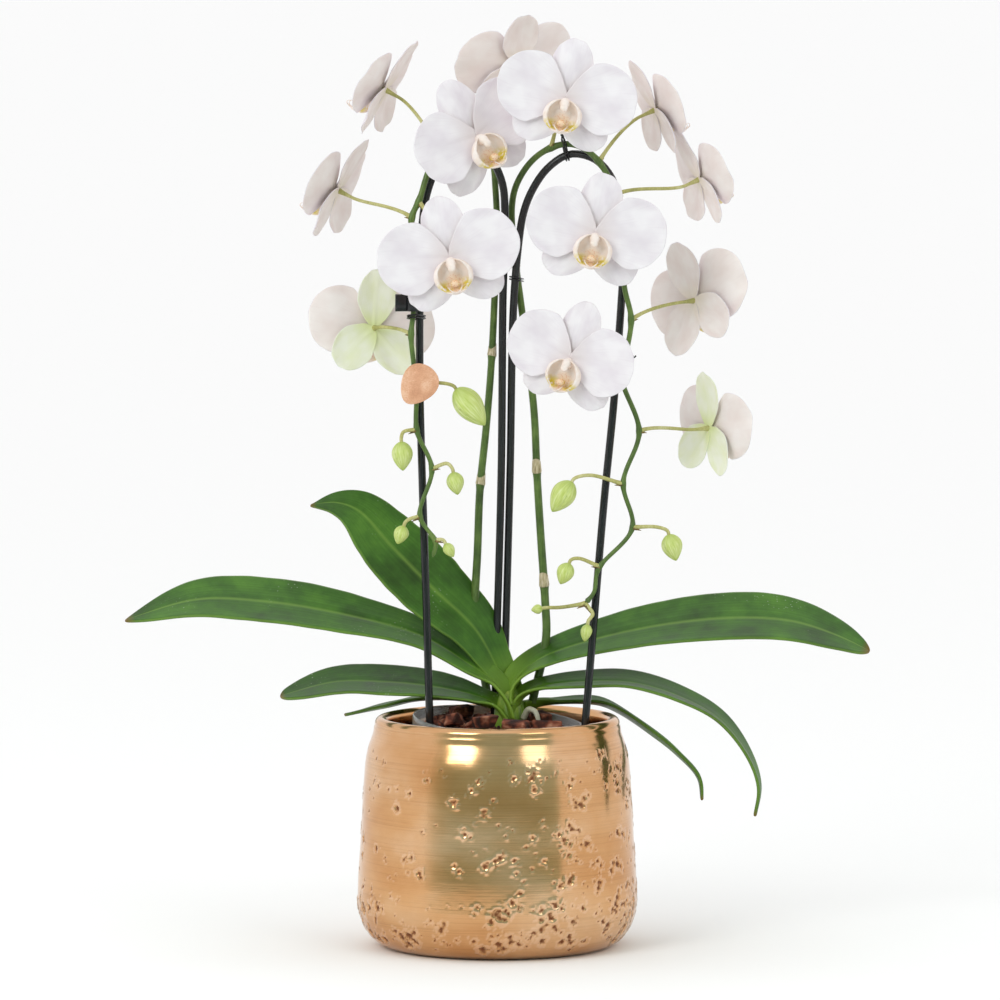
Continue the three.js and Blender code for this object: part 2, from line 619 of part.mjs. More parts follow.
// A twist tie: a loop drawn straight-sided round a stem and its wire, with a small knot.
function twistTie(arch, stemPoints, at, along) {
  const first = onRod(arch, WIRE_STEPS, vec(at));
  const second = onRod(curveThrough(stemPoints), STEM_STEPS, first);
  const halfSpan = first.distanceTo(second) / 2;
  const bend = 3.1;
  const thickness = 0.5;
  const loop = new THREE.TorusGeometry(bend, thickness, 4, 12);
  const position = loop.getAttribute("position");
  for (let i = 0; i < position.count; i += 1) {
    const x = position.getX(i);
    const shift = Math.abs(x) < 0.01 ? 0 : Math.sign(x) * halfSpan;
    position.setX(i, x + shift);
  }
  const knot = new THREE.IcosahedronGeometry(1.3, 0).translate(halfSpan + bend + 0.6, 0, 0);
  const tie = join([loop, knot]);
  const across = second.clone().sub(first).normalize();
  const axis = along.clone().addScaledVector(across, -along.dot(across)).normalize();
  const third = new THREE.Vector3().crossVectors(axis, across);
  const basis = new THREE.Matrix4().makeBasis(across, third, axis);
  const middle = first.clone().lerp(second, 0.5);
  return tie.applyMatrix4(basis.setPosition(middle));
}

const upright = new THREE.Vector3(0, 0, 1);
const sideways = new THREE.Vector3(1, 0, 0);
place("tie_left", twistTie(leftArch, LEFT_SPIKE, [-41.8, -10.2, 341], upright), blackPlastic);
place("tie_top", twistTie(rightArch, RIGHT_SPIKE, [38.7, -2, 430], sideways), blackPlastic);
place("tie_middle", twistTie(rightArch, RIGHT_SPIKE, [9.9, 7.2, 363], upright), blackPlastic);
place("tie_right", twistTie(rightArch, RIGHT_SPIKE, [64.8, -11.6, 322], upright), blackPlastic);

// The stem clip: a split sleeve on the stem with two finger tabs.
function stemClip() {
  const sleeve = turned([[2.7, -4.5], [4.2, -4.5], [4.2, 4.5], [2.7, 4.5], [2.7, -4.5]], 12);
  const tabs = [-1, 1].map((side) => {
    const tab = new THREE.BoxGeometry(7.5, 1.3, 9);
    return tab.translate(-6.6, 0, 0).rotateZ(side * 0.42);
  });
  return join([sleeve, ...tabs]);
}

const clip = place("stem_clip", stemClip(), blackPlastic);
clip.position.set(-45.2, -16, 350.5);

// The plain egg-shaped hang tag, with a loop that goes round the stem.
function hangTag() {
  const outline = new THREE.Shape();
  outline.moveTo(0, -11.5);
  outline.bezierCurveTo(6.5, -11.5, 10.4, -4, 10.4, 2);
  outline.bezierCurveTo(10.4, 8, 5.8, 11.5, 0, 11.5);
  outline.bezierCurveTo(-5.8, 11.5, -10.4, 8, -10.4, 2);
  outline.bezierCurveTo(-10.4, -4, -6.5, -11.5, 0, -11.5);
  const disc = new THREE.ExtrudeGeometry(outline, { depth: 1.4, bevelEnabled: false, curveSegments: 4 });
  disc.translate(0, 0, -0.7).rotateZ(-0.6).rotateX(Math.PI / 2);
  const loop = new THREE.TorusGeometry(3, 0.6, 4, 10).translate(-1.4, 3.5, 4);
  return join([disc, loop]);
}

const tag = place("hang_tag", hangTag(), tagPeach);
tag.position.set(-42.6, -21.2, 306.5);

export default plant;
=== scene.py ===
# %% [markdown]
# # A white moth orchid in a gold glazed pot
# The plant is a moth orchid with two flower spikes. A grower ties each spike to a black wire
# arch while it is still soft, so that it bows over and the flowers hang on both sides. The pot
# is stoneware with a metal lustre glaze whose surface is full of burst bubbles.
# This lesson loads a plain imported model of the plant, which fixes where every piece is, and
# builds the finished pieces over it one at a time. Lengths are written in millimetres.

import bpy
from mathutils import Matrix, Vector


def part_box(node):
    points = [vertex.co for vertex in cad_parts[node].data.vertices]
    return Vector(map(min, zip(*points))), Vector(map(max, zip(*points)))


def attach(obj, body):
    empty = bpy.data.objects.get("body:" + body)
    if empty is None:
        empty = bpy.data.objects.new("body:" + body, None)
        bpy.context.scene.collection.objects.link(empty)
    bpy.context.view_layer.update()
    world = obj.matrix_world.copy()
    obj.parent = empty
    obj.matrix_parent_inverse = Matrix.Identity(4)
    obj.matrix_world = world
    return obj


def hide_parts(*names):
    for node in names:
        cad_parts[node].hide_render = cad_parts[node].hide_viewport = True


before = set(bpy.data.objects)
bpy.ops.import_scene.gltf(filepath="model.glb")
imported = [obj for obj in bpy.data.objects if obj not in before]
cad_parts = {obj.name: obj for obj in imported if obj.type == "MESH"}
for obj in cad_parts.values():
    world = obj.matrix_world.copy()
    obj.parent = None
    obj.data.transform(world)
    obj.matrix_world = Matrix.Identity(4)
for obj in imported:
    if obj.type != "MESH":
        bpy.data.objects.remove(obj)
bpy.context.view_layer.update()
print("plain pieces:", len(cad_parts))

# %% Tools from Blender and Python
import math
import random

import bmesh
import bpy
from mathutils import Matrix, Quaternion, Vector, kdtree, noise

MM = 0.001
UP = Vector((0, 0, 1))

# %% [markdown]
# ## Helpers for materials
# Paint charts give colours as sRGB hex values, while Blender's sockets take linear light, so
# one function turns the first into the second. A second one adds a node to a material with its
# settings and its links, and every material below is written with it.

# %% Colours and nodes
def linear(hex_colour):
    """An sRGB hex colour as linear red, green, blue and alpha."""
    channels = [int(hex_colour[i:i + 2], 16) / 255 for i in (1, 3, 5)]
    light = [c / 12.92 if c <= 0.04045 else ((c + 0.055) / 1.055) ** 2.4 for c in channels]
    return (*light, 1.0)


def add(tree, kind, inputs=None, stops=(), **settings):
    """Adds a node: settings are its properties, inputs are values or outputs to link from."""
    node = tree.nodes.new("ShaderNode" + kind)
    for name, value in settings.items():
        setattr(node, name, value)
    while len(stops) > 2 and len(node.color_ramp.elements) < len(stops):
        node.color_ramp.elements.new(1.0)
    for element, (position, colour) in zip(node.color_ramp.elements if stops else (), stops):
        element.position = position
        element.color = linear(colour)
    for socket, value in (inputs or {}).items():
        if isinstance(value, bpy.types.NodeSocket):
            tree.links.new(value, node.inputs[socket])
        else:
            node.inputs[socket].default_value = value
    return node


def start_material(name):
    """A new material with only its output, and the tree that its nodes go into."""
    material = bpy.data.materials.new(name)
    material.use_nodes = True
    tree = material.node_tree
    tree.nodes.clear()
    return material, tree


def finish_material(material, look):
    """Gives a material its one shader, with its settings and links, and its output."""
    shader = add(material.node_tree, "BsdfPrincipled", look)
    add(material.node_tree, "OutputMaterial", {"Surface": shader.outputs[0]})
    return material


def remap(tree, value, low, high, to_low=0.0, to_high=1.0, **settings):
    """A value carried from the range low to high over to another range."""
    values = {0: value, 1: low, 2: high, 3: to_low, 4: to_high}
    return add(tree, "MapRange", values, **settings).outputs[0]


def ramp(tree, value, *stops):
    """A colour looked up from stops, each a value and a hex colour."""
    return add(tree, "ValToRGB", {0: value}, stops=stops).outputs[0]


def mix(tree, share, below, above, way="MIX"):
    """Two colours mixed: a share of 1 shows only the one above."""
    above = linear(above) if isinstance(above, str) else above
    values = {0: share, 6: below, 7: above}
    return add(tree, "Mix", values, data_type="RGBA", blend_type=way).outputs[2]


def mottle(tree, place, scale, detail, roughness=0.5):
    """Noise of a given scale. Three scales, one for each axis, stretch it into streaks."""
    if isinstance(scale, tuple):
        place = add(tree, "Mapping", {"Vector": place, "Scale": scale}).outputs[0]
        scale = 1.0
    values = {"Vector": place, "Scale": scale, "Detail": detail, "Roughness": roughness}
    return add(tree, "TexNoise", values).outputs[0]


def bumps(tree, height, strength, distance, **below):
    """A normal tilted by a height, whose full rise is the distance in metres."""
    values = {"Height": height, "Strength": strength, "Distance": distance, **below}
    return add(tree, "Bump", values).outputs[0]


# %% [markdown]
# ## Helpers for shapes
# Most of a plant is swept shapes, such as stems, and bent sheets, such as petals. A sweep is a
# curve with a round bevel, turned into a mesh. A sheet is a grid whose square is first pressed
# into a disc, so that it has no pinched corners, and then bent. `finish_piece` puts a mesh into
# the scene as a named piece that stands for one or more plain pieces.

# %% Smooth lines and swept rods
def evenly(points, steps):
    """Points at equal distances along a line of straight pieces."""
    lengths = [0.0]
    for a, b in zip(points, points[1:]):
        lengths.append(lengths[-1] + (b - a).length)
    placed, k = [], 0
    for i in range(steps + 1):
        goal = lengths[-1] * i / steps
        while k < len(points) - 2 and lengths[k + 1] < goal:
            k += 1
        share = (goal - lengths[k]) / max(lengths[k + 1] - lengths[k], 1e-9)
        placed.append(points[k].lerp(points[k + 1], min(1.0, share)))
    return placed


def smooth_line(points, steps):
    """Evenly spaced points, in metres, on a smooth curve through points in millimetres."""
    knots = [Vector(p) * MM for p in points]
    knots = [2 * knots[0] - knots[1], *knots, 2 * knots[-1] - knots[-2]]
    fine = []
    for a, b, c, d in zip(knots, knots[1:], knots[2:], knots[3:]):
        before, between, after = (math.sqrt((q - p).length) for p, q in ((a, b), (b, c), (c, d)))
        leaving = ((b - a) / before - (c - a) / (before + between) + (c - b) / between) * between
        arriving = ((c - b) / between - (d - b) / (between + after) + (d - c) / after) * between
        for k in range(16):
            t = k / 16
            fine.append(
                b * (2 * t ** 3 - 3 * t ** 2 + 1)
                + leaving * (t ** 3 - 2 * t ** 2 + t)
                + c * (3 * t ** 2 - 2 * t ** 3)
                + arriving * (t ** 3 - t ** 2)
            )
    fine.append(knots[-2])
    return evenly(fine, steps)


def nearest(points, target):
    """The place in a list of points that is closest to a target."""
    return min(range(len(points)), key=lambda i: (points[i] - target).length)


def swept_mesh(name, lines, roundness=4):
    """One mesh of round rods. Each line is a list of a point and a radius, in metres."""
    curve = bpy.data.curves.new(name, "CURVE")
    curve.dimensions = "3D"
    curve.bevel_depth = 1.0
    curve.bevel_resolution = roundness
    curve.use_fill_caps = True
    for line in lines:
        spline = curve.splines.new("POLY")
        spline.points.add(len(line) - 1)
        for spot, (point, radius) in zip(spline.points, line):
            spot.co = (*point, 1.0)
            spot.radius = radius
    holder = bpy.data.objects.new(name, curve)
    bpy.context.scene.collection.objects.link(holder)
    ready = holder.evaluated_get(bpy.context.evaluated_depsgraph_get())
    mesh = bpy.data.meshes.new_from_object(ready)
    bpy.data.objects.remove(holder)
    bpy.data.curves.remove(curve)
    return mesh


# %% Turned shapes, finished pieces and a count of their faces
def spun(profile, steps):
    """A shape turned about +Z from a profile of radius and height in millimetres."""
    bm = bmesh.new()
    ring = [bm.verts.new((r * MM, 0, z * MM)) for r, z in profile]
    edges = [bm.edges.new(pair) for pair in zip(ring, ring[1:])]
    bmesh.ops.spin(
        bm, geom=ring + edges, cent=(0, 0, 0), axis=(0, 0, 1), dvec=(0, 0, 0),
        angle=2 * math.pi, steps=steps, use_merge=True,
    )
    bmesh.ops.remove_doubles(bm, verts=bm.verts, dist=1e-6)
    bmesh.ops.recalc_face_normals(bm, faces=bm.faces)
    return bm


def to_mesh(bm, name):
    """A mesh from a bmesh, which is freed."""
    mesh = bpy.data.meshes.new(name)
    bm.to_mesh(mesh)
    bm.free()
    return mesh


def add_mesh(bm, mesh):
    """Adds a mesh's faces to a bmesh, and throws the mesh away."""
    bm.from_mesh(mesh)
    bpy.data.meshes.remove(mesh)


def finish_piece(name, mesh, materials, slot, *nodes):
    """Puts a mesh into the scene as a smooth piece that stands for the named plain pieces."""
    piece = bpy.data.objects.new(name, mesh)
    bpy.context.scene.collection.objects.link(piece)
    for material in materials:
        mesh.materials.append(material)
    mesh.shade_smooth()
    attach(piece, "root")
    if nodes:
        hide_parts(*nodes)
    print(f"{name}: {len(mesh.polygons)} faces")
    return piece


# %% [markdown]
# ## The lustre glaze
# The pot is stoneware with a metallic lustre: a film of metal is fired on top of the glaze, so
# it mirrors its surroundings in gold. Three things show. The clay was turned, which leaves fine
# level lines about a millimetre apart. The lustre is thicker in places, which takes its colour
# from copper to a green gold. And gas burst through while it was fired, which left pits whose
# floors are bare brown clay and whose rims are raised. The pits are modelled in the mesh below,
# and the mesh says how deep each point is in an attribute named pit.

# %% Lustre glazed stoneware
def lustre_glaze():
    material, tree = start_material("gold_lustre_glaze")
    place = add(tree, "TexCoord").outputs["Object"]
    pit = add(tree, "Attribute", attribute_name="pit").outputs["Fac"]
    # Lustre clouds are about 40 mm across, and stretched round the pot.
    cloud = mottle(tree, place, (18, 18, 30), 4.0)
    tone = ramp(tree, cloud, (0.3, "#C68F5C"), (0.5, "#D3A272"), (0.68, "#DDB48C"))
    # Turning lines are about half a millimetre apart.
    lines = mottle(tree, place, (9, 9, 1900), 3.0)
    line_tone = ramp(tree, lines, (0.3, "#D6D0C8"), (0.5, "#FFFFFF"))
    lined = mix(tree, 0.35, tone, line_tone, "MULTIPLY")
    # The pit attribute runs from 0 at the rim's foot, below 0 on the rim, to 1 on the floor.
    speck = mottle(tree, place, (900, 900, 900), 2.0)
    ragged = add(tree, "Math", {0: speck, 1: -0.5}, operation="ADD")
    edge = add(tree, "Math", {0: ragged.outputs[0], 1: 0.5, 2: pit}, operation="MULTIPLY_ADD")
    floor_mask = remap(tree, edge.outputs[0], 0.35, 0.9)
    rim_mask = remap(tree, pit, -0.03, -0.4, 0.0, 0.3)
    rimmed = mix(tree, rim_mask, lined, "#F0CDB0")
    pitted = mix(tree, floor_mask, rimmed, "#7C4A2C")
    metal = remap(tree, floor_mask, 0.0, 1.0, 1.0, 0.7)
    rough = remap(tree, cloud, 0.3, 0.7, 0.12, 0.2)
    rougher = remap(tree, floor_mask, 0.0, 1.0, 0.0, 0.35)
    both = add(tree, "Math", {0: rough, 1: rougher}, operation="ADD")
    ripple = mottle(tree, place, (40, 40, 90), 2.0)
    soft = bumps(tree, ripple, 0.16, 0.001)
    fine = bumps(tree, lines, 0.25, 0.0001, Normal=soft)
    return finish_material(material, {
        "Base Color": pitted, "Metallic": metal,
        "Roughness": both.outputs[0], "Normal": fine,
    })


gold_lustre_glaze = lustre_glaze()

# %% [markdown]
# ## The decorative pot
# A thrown pot is a profile turned about its axis, so the mesh is a line of points spun round.
# The wall needs points less than a millimetre apart, because the burst bubbles are only two to
# five millimetres across and are pressed into the mesh itself: a bump pattern could not throw
# their raised rims into the outline. They crowd towards the foot, where the glaze ran thick.

# %% Turn the pot and press the burst bubbles into its wall
def arc(centre, radii, first, last, count):
    """Points of an elliptic arc, with its angles in degrees."""
    turns = [math.radians(first + (last - first) * i / count) for i in range(count + 1)]
    return [(centre[0] + radii[0] * math.cos(t), centre[1] + radii[1] * math.sin(t)) for t in turns]


def wall_line(points, spacing):
    """The points of a profile with more put in between, about one spacing apart."""
    line = [points[0]]
    for (r0, z0), (r1, z1) in zip(points, points[1:]):
        count = max(1, round(math.hypot(r1 - r0, z1 - z0) / spacing))
        line += [(r0 + (r1 - r0) * i / count, z0 + (z1 - z0) * i / count) for i in range(1, count + 1)]
    return line


def smooth_profile(points, count):
    """A smooth profile through a few radii and heights."""
    line = smooth_line([(r, 0, z) for r, z in points], count)
    return [(p.x / MM, p.z / MM) for p in line]


BURSTS = 1150
foot = [(0, 0.0), (30, 0.0), (52, 0.0), (56.4, 0.0)]
corner = arc((57, 26), (19, 26), -90, 0, 40)
wall = smooth_profile([(76, 26), (75.5, 40), (74.4, 56), (72.9, 84), (72.2, 94), (71.7, 100)], 86)
shoulder = smooth_profile(
    [(71.7, 100), (71.05, 104), (69.9, 109), (68.5, 113), (67.4, 116.2), (66.9, 119.6)], 22,
)
lip = arc((63, 121.5), (3.5, 3.5), -14, 180, 14)
inside = [
    (58.9, 116), (59.4, 112), (62.4, 103), (65.6, 86), (67.2, 60), (67.0, 38), (63, 22), (57, 13),
    (46, 8), (0, 8),
]
wall_profile = wall_line(foot, 14) + corner[1:] + wall[1:] + shoulder[1:] + lip + wall_line(inside, 5)


def burst_list(radius_at):
    """Each burst bubble: its middle on the wall, its radius and its depth, all in metres."""
    chooser = random.Random(11)
    bursts = []
    while len(bursts) < BURSTS:
        turn = chooser.uniform(0, 2 * math.pi)
        height = chooser.uniform(5, 109)
        patch = noise.noise(Vector((math.cos(turn) * 3.4, math.sin(turn) * 3.4, height / 16)))
        low = max(0.0, 1 - height / 42)
        right = max(0.0, math.cos(turn + 0.35))
        crowd = 0.17 + 0.62 * low + 0.24 * right + 0.3 * patch
        if chooser.random() > crowd:
            continue
        size = chooser.choice([0.6, 0.75, 0.9, 1.1, 1.5, 2.0]) * chooser.uniform(0.85, 1.15)
        size *= 1 + 0.35 * low
        for child in range(chooser.choice([1, 1, 1, 1, 2, 3])):
            step = 0 if child == 0 else 2.1 * size
            angle = chooser.uniform(0, 2 * math.pi)
            at_turn = turn + step * math.cos(angle) / 74
            at_height = min(110.0, max(4.0, height + step * math.sin(angle) * 0.7))
            small = size * (1 if child == 0 else chooser.uniform(0.5, 0.85))
            radius = radius_at(at_height)
            middle = Vector((radius * math.cos(at_turn), radius * math.sin(at_turn), at_height)) * MM
            bursts.append((middle, small * MM, 0.42 * small * MM, chooser.uniform(0, 90)))
    return bursts


def decorative_pot():
    bm = spun(wall_profile, 504)
    outer = corner + wall + shoulder

    def radius_at(height):
        return min(outer, key=lambda p: abs(p[1] - height))[0]

    bursts = burst_list(radius_at)
    finder = kdtree.KDTree(len(bursts))
    for i, burst in enumerate(bursts):
        finder.insert(burst[0], i)
    finder.balance()
    bm.normal_update()
    pit = bm.verts.layers.float.new("pit")
    for v in bm.verts:
        if v.co.x ** 2 + v.co.y ** 2 < (56 * MM) ** 2 or v.normal.x * v.co.x + v.normal.y * v.co.y < 0:
            continue
        hollow, rim = 0.0, 0.0
        for middle, i, distance in finder.find_range(v.co, 4.6 * MM):
            _, radius, depth, turn = bursts[i]
            wobble = noise.noise(v.co * 520 + Vector((turn, 0, 0)))
            away = distance / radius * (1 + 0.8 * wobble)
            if away < 1:
                hollow = max(hollow, (1 - away ** 2) ** 1.2 * depth)
                v[pit] = max(v[pit], 1 - away ** 2)
            rim = max(rim, depth * 0.42 * math.exp(-((away - 1.2) / 0.3) ** 2))
        if hollow < rim and v[pit] == 0:
            v[pit] = -rim / (0.2 * MM)
        v.co += v.normal * (rim - hollow)
    return finish_piece(
        "lustre_pot", to_mesh(bm, "lustre_pot"), [gold_lustre_glaze], "gold_glaze", "decorative_pot",
    )


decorative_pot()

# %% [markdown]
# ## The grow pot, the bark and the roots
# Orchids are sold in a thin clear polypropylene pot that drops into the decorative one. Only its
# rim shows, leaning a few degrees. The bark is chipped pine: angular flakes a centimetre or so
# long, red brown outside and darker in the gaps. Each chip is a cube that is squashed, knocked
# out of square and bevelled, because a few dozen faces are enough for a thing repeated so often.

# %% Clear plastic and pine bark
def clear_plastic():
    """Clear polypropylene, scuffed by handling: milky where it is seen edge on."""
    material, tree = start_material("clear_polypropylene")
    place = add(tree, "TexCoord").outputs["Object"]
    scuff = mottle(tree, place, 240.0, 5.0)
    rough = remap(tree, scuff, 0.0, 1.0, 0.1, 0.3)
    tone = ramp(tree, scuff, (0.35, "#EDEFEC"), (0.65, "#FBFCFA"))
    return finish_material(material, {
        "Base Color": tone, "Roughness": rough,
        "Transmission Weight": 0.85, "IOR": 1.49,
    })


def pine_bark():
    """Pine bark: thin red-brown and dark layers, split along the grain, rough and dull."""
    material, tree = start_material("pine_bark")
    place = add(tree, "TexCoord").outputs["Object"]
    # Layers are about 1.5 mm thick, and their blotches about 6 mm across.
    layers = mottle(tree, place, 170.0, 6.0)
    grain = mottle(tree, place, (260, 260, 900), 5.0)
    tone = ramp(tree, layers, (0.3, "#140A08"), (0.46, "#4A2216"), (0.57, "#84452E"), (0.7, "#B98468"))
    bump = bumps(tree, grain, 0.8, 0.0008)
    return finish_material(material, {
        "Base Color": tone, "Roughness": 0.85, "Normal": bump,
    })


clear_polypropylene = clear_plastic()
pine_bark_finish = pine_bark()

# %% Turn the grow pot and lean it
GROW_LEAN = math.radians(4.5)
GROW_NOD = math.radians(3.5)
GROW_HEIGHT = 111.5
lean_place = Vector((
    1 - GROW_HEIGHT * math.sin(GROW_LEAN),
    GROW_HEIGHT * math.cos(GROW_LEAN) * math.sin(GROW_NOD),
    8.4 + 33 * math.sin(math.hypot(GROW_LEAN, GROW_NOD)),
)) * MM
lean_turn = Matrix.Rotation(GROW_NOD, 4, "X") @ Matrix.Rotation(GROW_LEAN, 4, "Y")
leaning = Matrix.Translation(lean_place) @ lean_turn


def grow_pot():
    profile = [
        (0, 0), (31, 0), (33, 1), (35.8, 30), (39.3, 66), (45, 104.2), (46.8, 105.2), (47, 106.2),
        (47, 110.9), (46.6, 111.5), (46.1, 111.5), (45.8, 110.9), (45.8, 106.4), (43.9, 104.4),
        (38.2, 66), (34.6, 30), (31.9, 1.6), (30.6, 1.2), (0, 1.2),
    ]
    bm = spun(profile, 96)
    for v in bm.verts:
        turn = math.atan2(v.co.y, v.co.x)
        if v.co.z < 100 * MM:
            v.co.xy *= 1 + 0.012 * math.cos(12 * turn)
    bmesh.ops.transform(bm, matrix=leaning, verts=bm.verts)
    finish_piece(
        "clear_grow_pot", to_mesh(bm, "clear_grow_pot"), [clear_polypropylene], "clear_plastic", "grow_pot",
    )


grow_pot()
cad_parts["bark_filling"].data.materials.clear()
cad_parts["bark_filling"].data.materials.append(pine_bark_finish)

# %% Scatter the bark chips
BARK_SPOTS = [  # size, place and turn of the six chips that stand proud, in millimetres
    ((13, 9, 7), (-7, -27, 124.6), 35), ((16, 7, 5), (10, -30, 123), -12),
    ((18, 6, 5), (27, -24, 123), 8), ((12, 8, 6), (-24, -18, 125), -40),
    ((14, 9, 6), (-20, 16, 126), 20), ((13, 8, 6), (24, 12, 122.5), -55),
]
SMALL_CHIPS = 340
BARK_SURFACE = 105  # height of the lowest small chips in the grow pot


def bark_chip(bm, chooser, size, matrix):
    made = bmesh.ops.create_cube(bm, size=1.0)
    verts = made["verts"]
    for v in verts:
        squeeze = 1 - 0.35 * chooser.random()
        share = (squeeze, 1.3 - squeeze / 2, 1)
        v.co = Vector([c * s * k for c, s, k in zip(v.co, size, share)]) * MM
        v.co += Vector([chooser.uniform(-0.14, 0.14) * s * MM for s in size])
    edges = list({e for v in verts for e in v.link_edges})
    bevelled = bmesh.ops.bevel(
        bm, geom=edges, offset=0.7 * MM, segments=1, affect="EDGES", profile=0.5, material=-1,
    )
    corners = {v for f in bevelled["faces"] for v in f.verts}
    bmesh.ops.transform(bm, matrix=matrix, verts=list(corners))


def loose_bark():
    chooser = random.Random(5)
    bm = bmesh.new()
    for size, at, turn in BARK_SPOTS:
        tilt = Matrix.Rotation(chooser.uniform(-0.3, 0.3), 4, "X")
        tilt = tilt @ Matrix.Rotation(math.radians(turn), 4, "Z")
        bark_chip(bm, chooser, size, Matrix.Translation(Vector(at) * MM) @ tilt)
    for i in range(SMALL_CHIPS):
        turn = chooser.uniform(0, 2 * math.pi)
        radius = 40 * math.sqrt(chooser.random())
        height = BARK_SURFACE + 6.5 * chooser.random() * (1 - radius / 60)
        at = leaning @ (Vector((radius * math.cos(turn), radius * math.sin(turn), height)) * MM)
        spin = [chooser.gauss(0, 0.55), chooser.gauss(0, 0.55), chooser.uniform(0, math.pi)]
        rotation = Matrix.Rotation(spin[2], 4, "Z") @ Matrix.Rotation(spin[0], 4, "X")
        rotation = rotation @ Matrix.Rotation(spin[1], 4, "Y")
        size = (chooser.uniform(5, 12), chooser.uniform(3, 6), chooser.uniform(1.6, 3.8))
        bark_chip(bm, chooser, size, Matrix.Translation(at) @ rotation)
    bmesh.ops.recalc_face_normals(bm, faces=bm.faces)
    piece = finish_piece(
        "bark_chips", to_mesh(bm, "bark_chips"), [pine_bark_finish], "bark",
        *[f"bark_chip_{i}" for i in range(1, 7)],
    )
    piece.data.shade_flat()


loose_bark()

# %% [markdown]
# ## Black wire
# The arches are steel wire with a black plastic coat, 4.2 mm thick. A coated wire is smooth and
# glossy, so it shows one thin bright line along its length. The routes are the same lists of
# points as in the plain model, so each arch passes through the same ties and leaves.

# %% Plastic coated wire
def black_plastic(name, roughness, scratch):
    """Black polyethylene: near black, glossy, with faint drag marks from being drawn."""
    material, tree = start_material(name)
    place = add(tree, "TexCoord").outputs["Object"]
    drag = mottle(tree, place, (1800, 1800, 90), 3.0)
    rough = remap(tree, drag, 0.3, 0.7, roughness * 0.7, roughness * 1.4)
    tone = ramp(tree, drag, (0.3, "#0B0B0D"), (0.75, "#1C1C20"))
    bump = bumps(tree, drag, scratch, 0.0001)
    return finish_material(material, {
        "Base Color": tone, "Roughness": rough, "IOR": 1.5, "Normal": bump,
    })


coated_wire = black_plastic("black_coated_wire", 0.2, 0.4)
moulded_black = black_plastic("black_moulded_plastic", 0.16, 0.15)

# %% Sweep the two arches
LEFT_ARCH = [
    (-4, 20, 45), (-1.6, 18.5, 123), (-0.2, 17, 168), (2.2, 12.5, 258), (3.1, 8.5, 351), (4.2, 5.5, 397),
    (2.8, 4, 414), (-3.5, 2, 427.5), (-14.7, -2.5, 436), (-28.1, -6.5, 429.7), (-37.3, -8.5, 410.9),
    (-41.1, -9, 384), (-41.8, -10, 346), (-41.6, -12.5, 298), (-40.1, -15, 243.5), (-38, -17.5, 178.5),
    (-36.4, -17.5, 123), (-33.4, -12, 50),
]
RIGHT_ARCH = [
    (1.8, 22, 45), (3.4, 20.5, 123), (4.6, 19, 168), (7, 14, 258), (8.7, 8.5, 345), (11.2, 6, 378),
    (14.2, 4.5, 398), (19, 3, 410.5), (27.4, 1, 422.5), (39.3, -2, 430), (52.2, -5, 427.6),
    (61, -7.5, 418.5), (66.4, -9, 402), (68.6, -9.5, 378.6), (67.3, -10.5, 357), (63.1, -12.5, 298.7),
    (57.7, -15, 243.5), (51.3, -18.5, 167.6), (47.5, -20.5, 123), (37.5, -22, 8.4),
]
WIRE_RADIUS = 2.1
arch_lines = {
    "arch_wire_left": smooth_line(LEFT_ARCH, 240), "arch_wire_right": smooth_line(RIGHT_ARCH, 250),
}
for node, line in arch_lines.items():
    rod = [(point, WIRE_RADIUS * MM) for point in line]
    rod = [(line[0], WIRE_RADIUS * 0.6 * MM), *rod[1:-1], (line[-1], WIRE_RADIUS * 0.6 * MM)]
    finish_piece(f"coated_{node}", swept_mesh(node, [rod], 5), [coated_wire], "black_plastic", node)

# %% [markdown]
# ## Leaves
# A moth orchid's leaf is thick and leathery, with a groove along its midrib, a keel below it and
# hardly any visible veins. The sheet is a grid: its rows are set across the midrib's curve, its
# width follows a narrow base, a full blade and a round or pointed tip, and its two halves fold
# up a little. Solidify gives it its thickness and a subdivision rounds its edges.

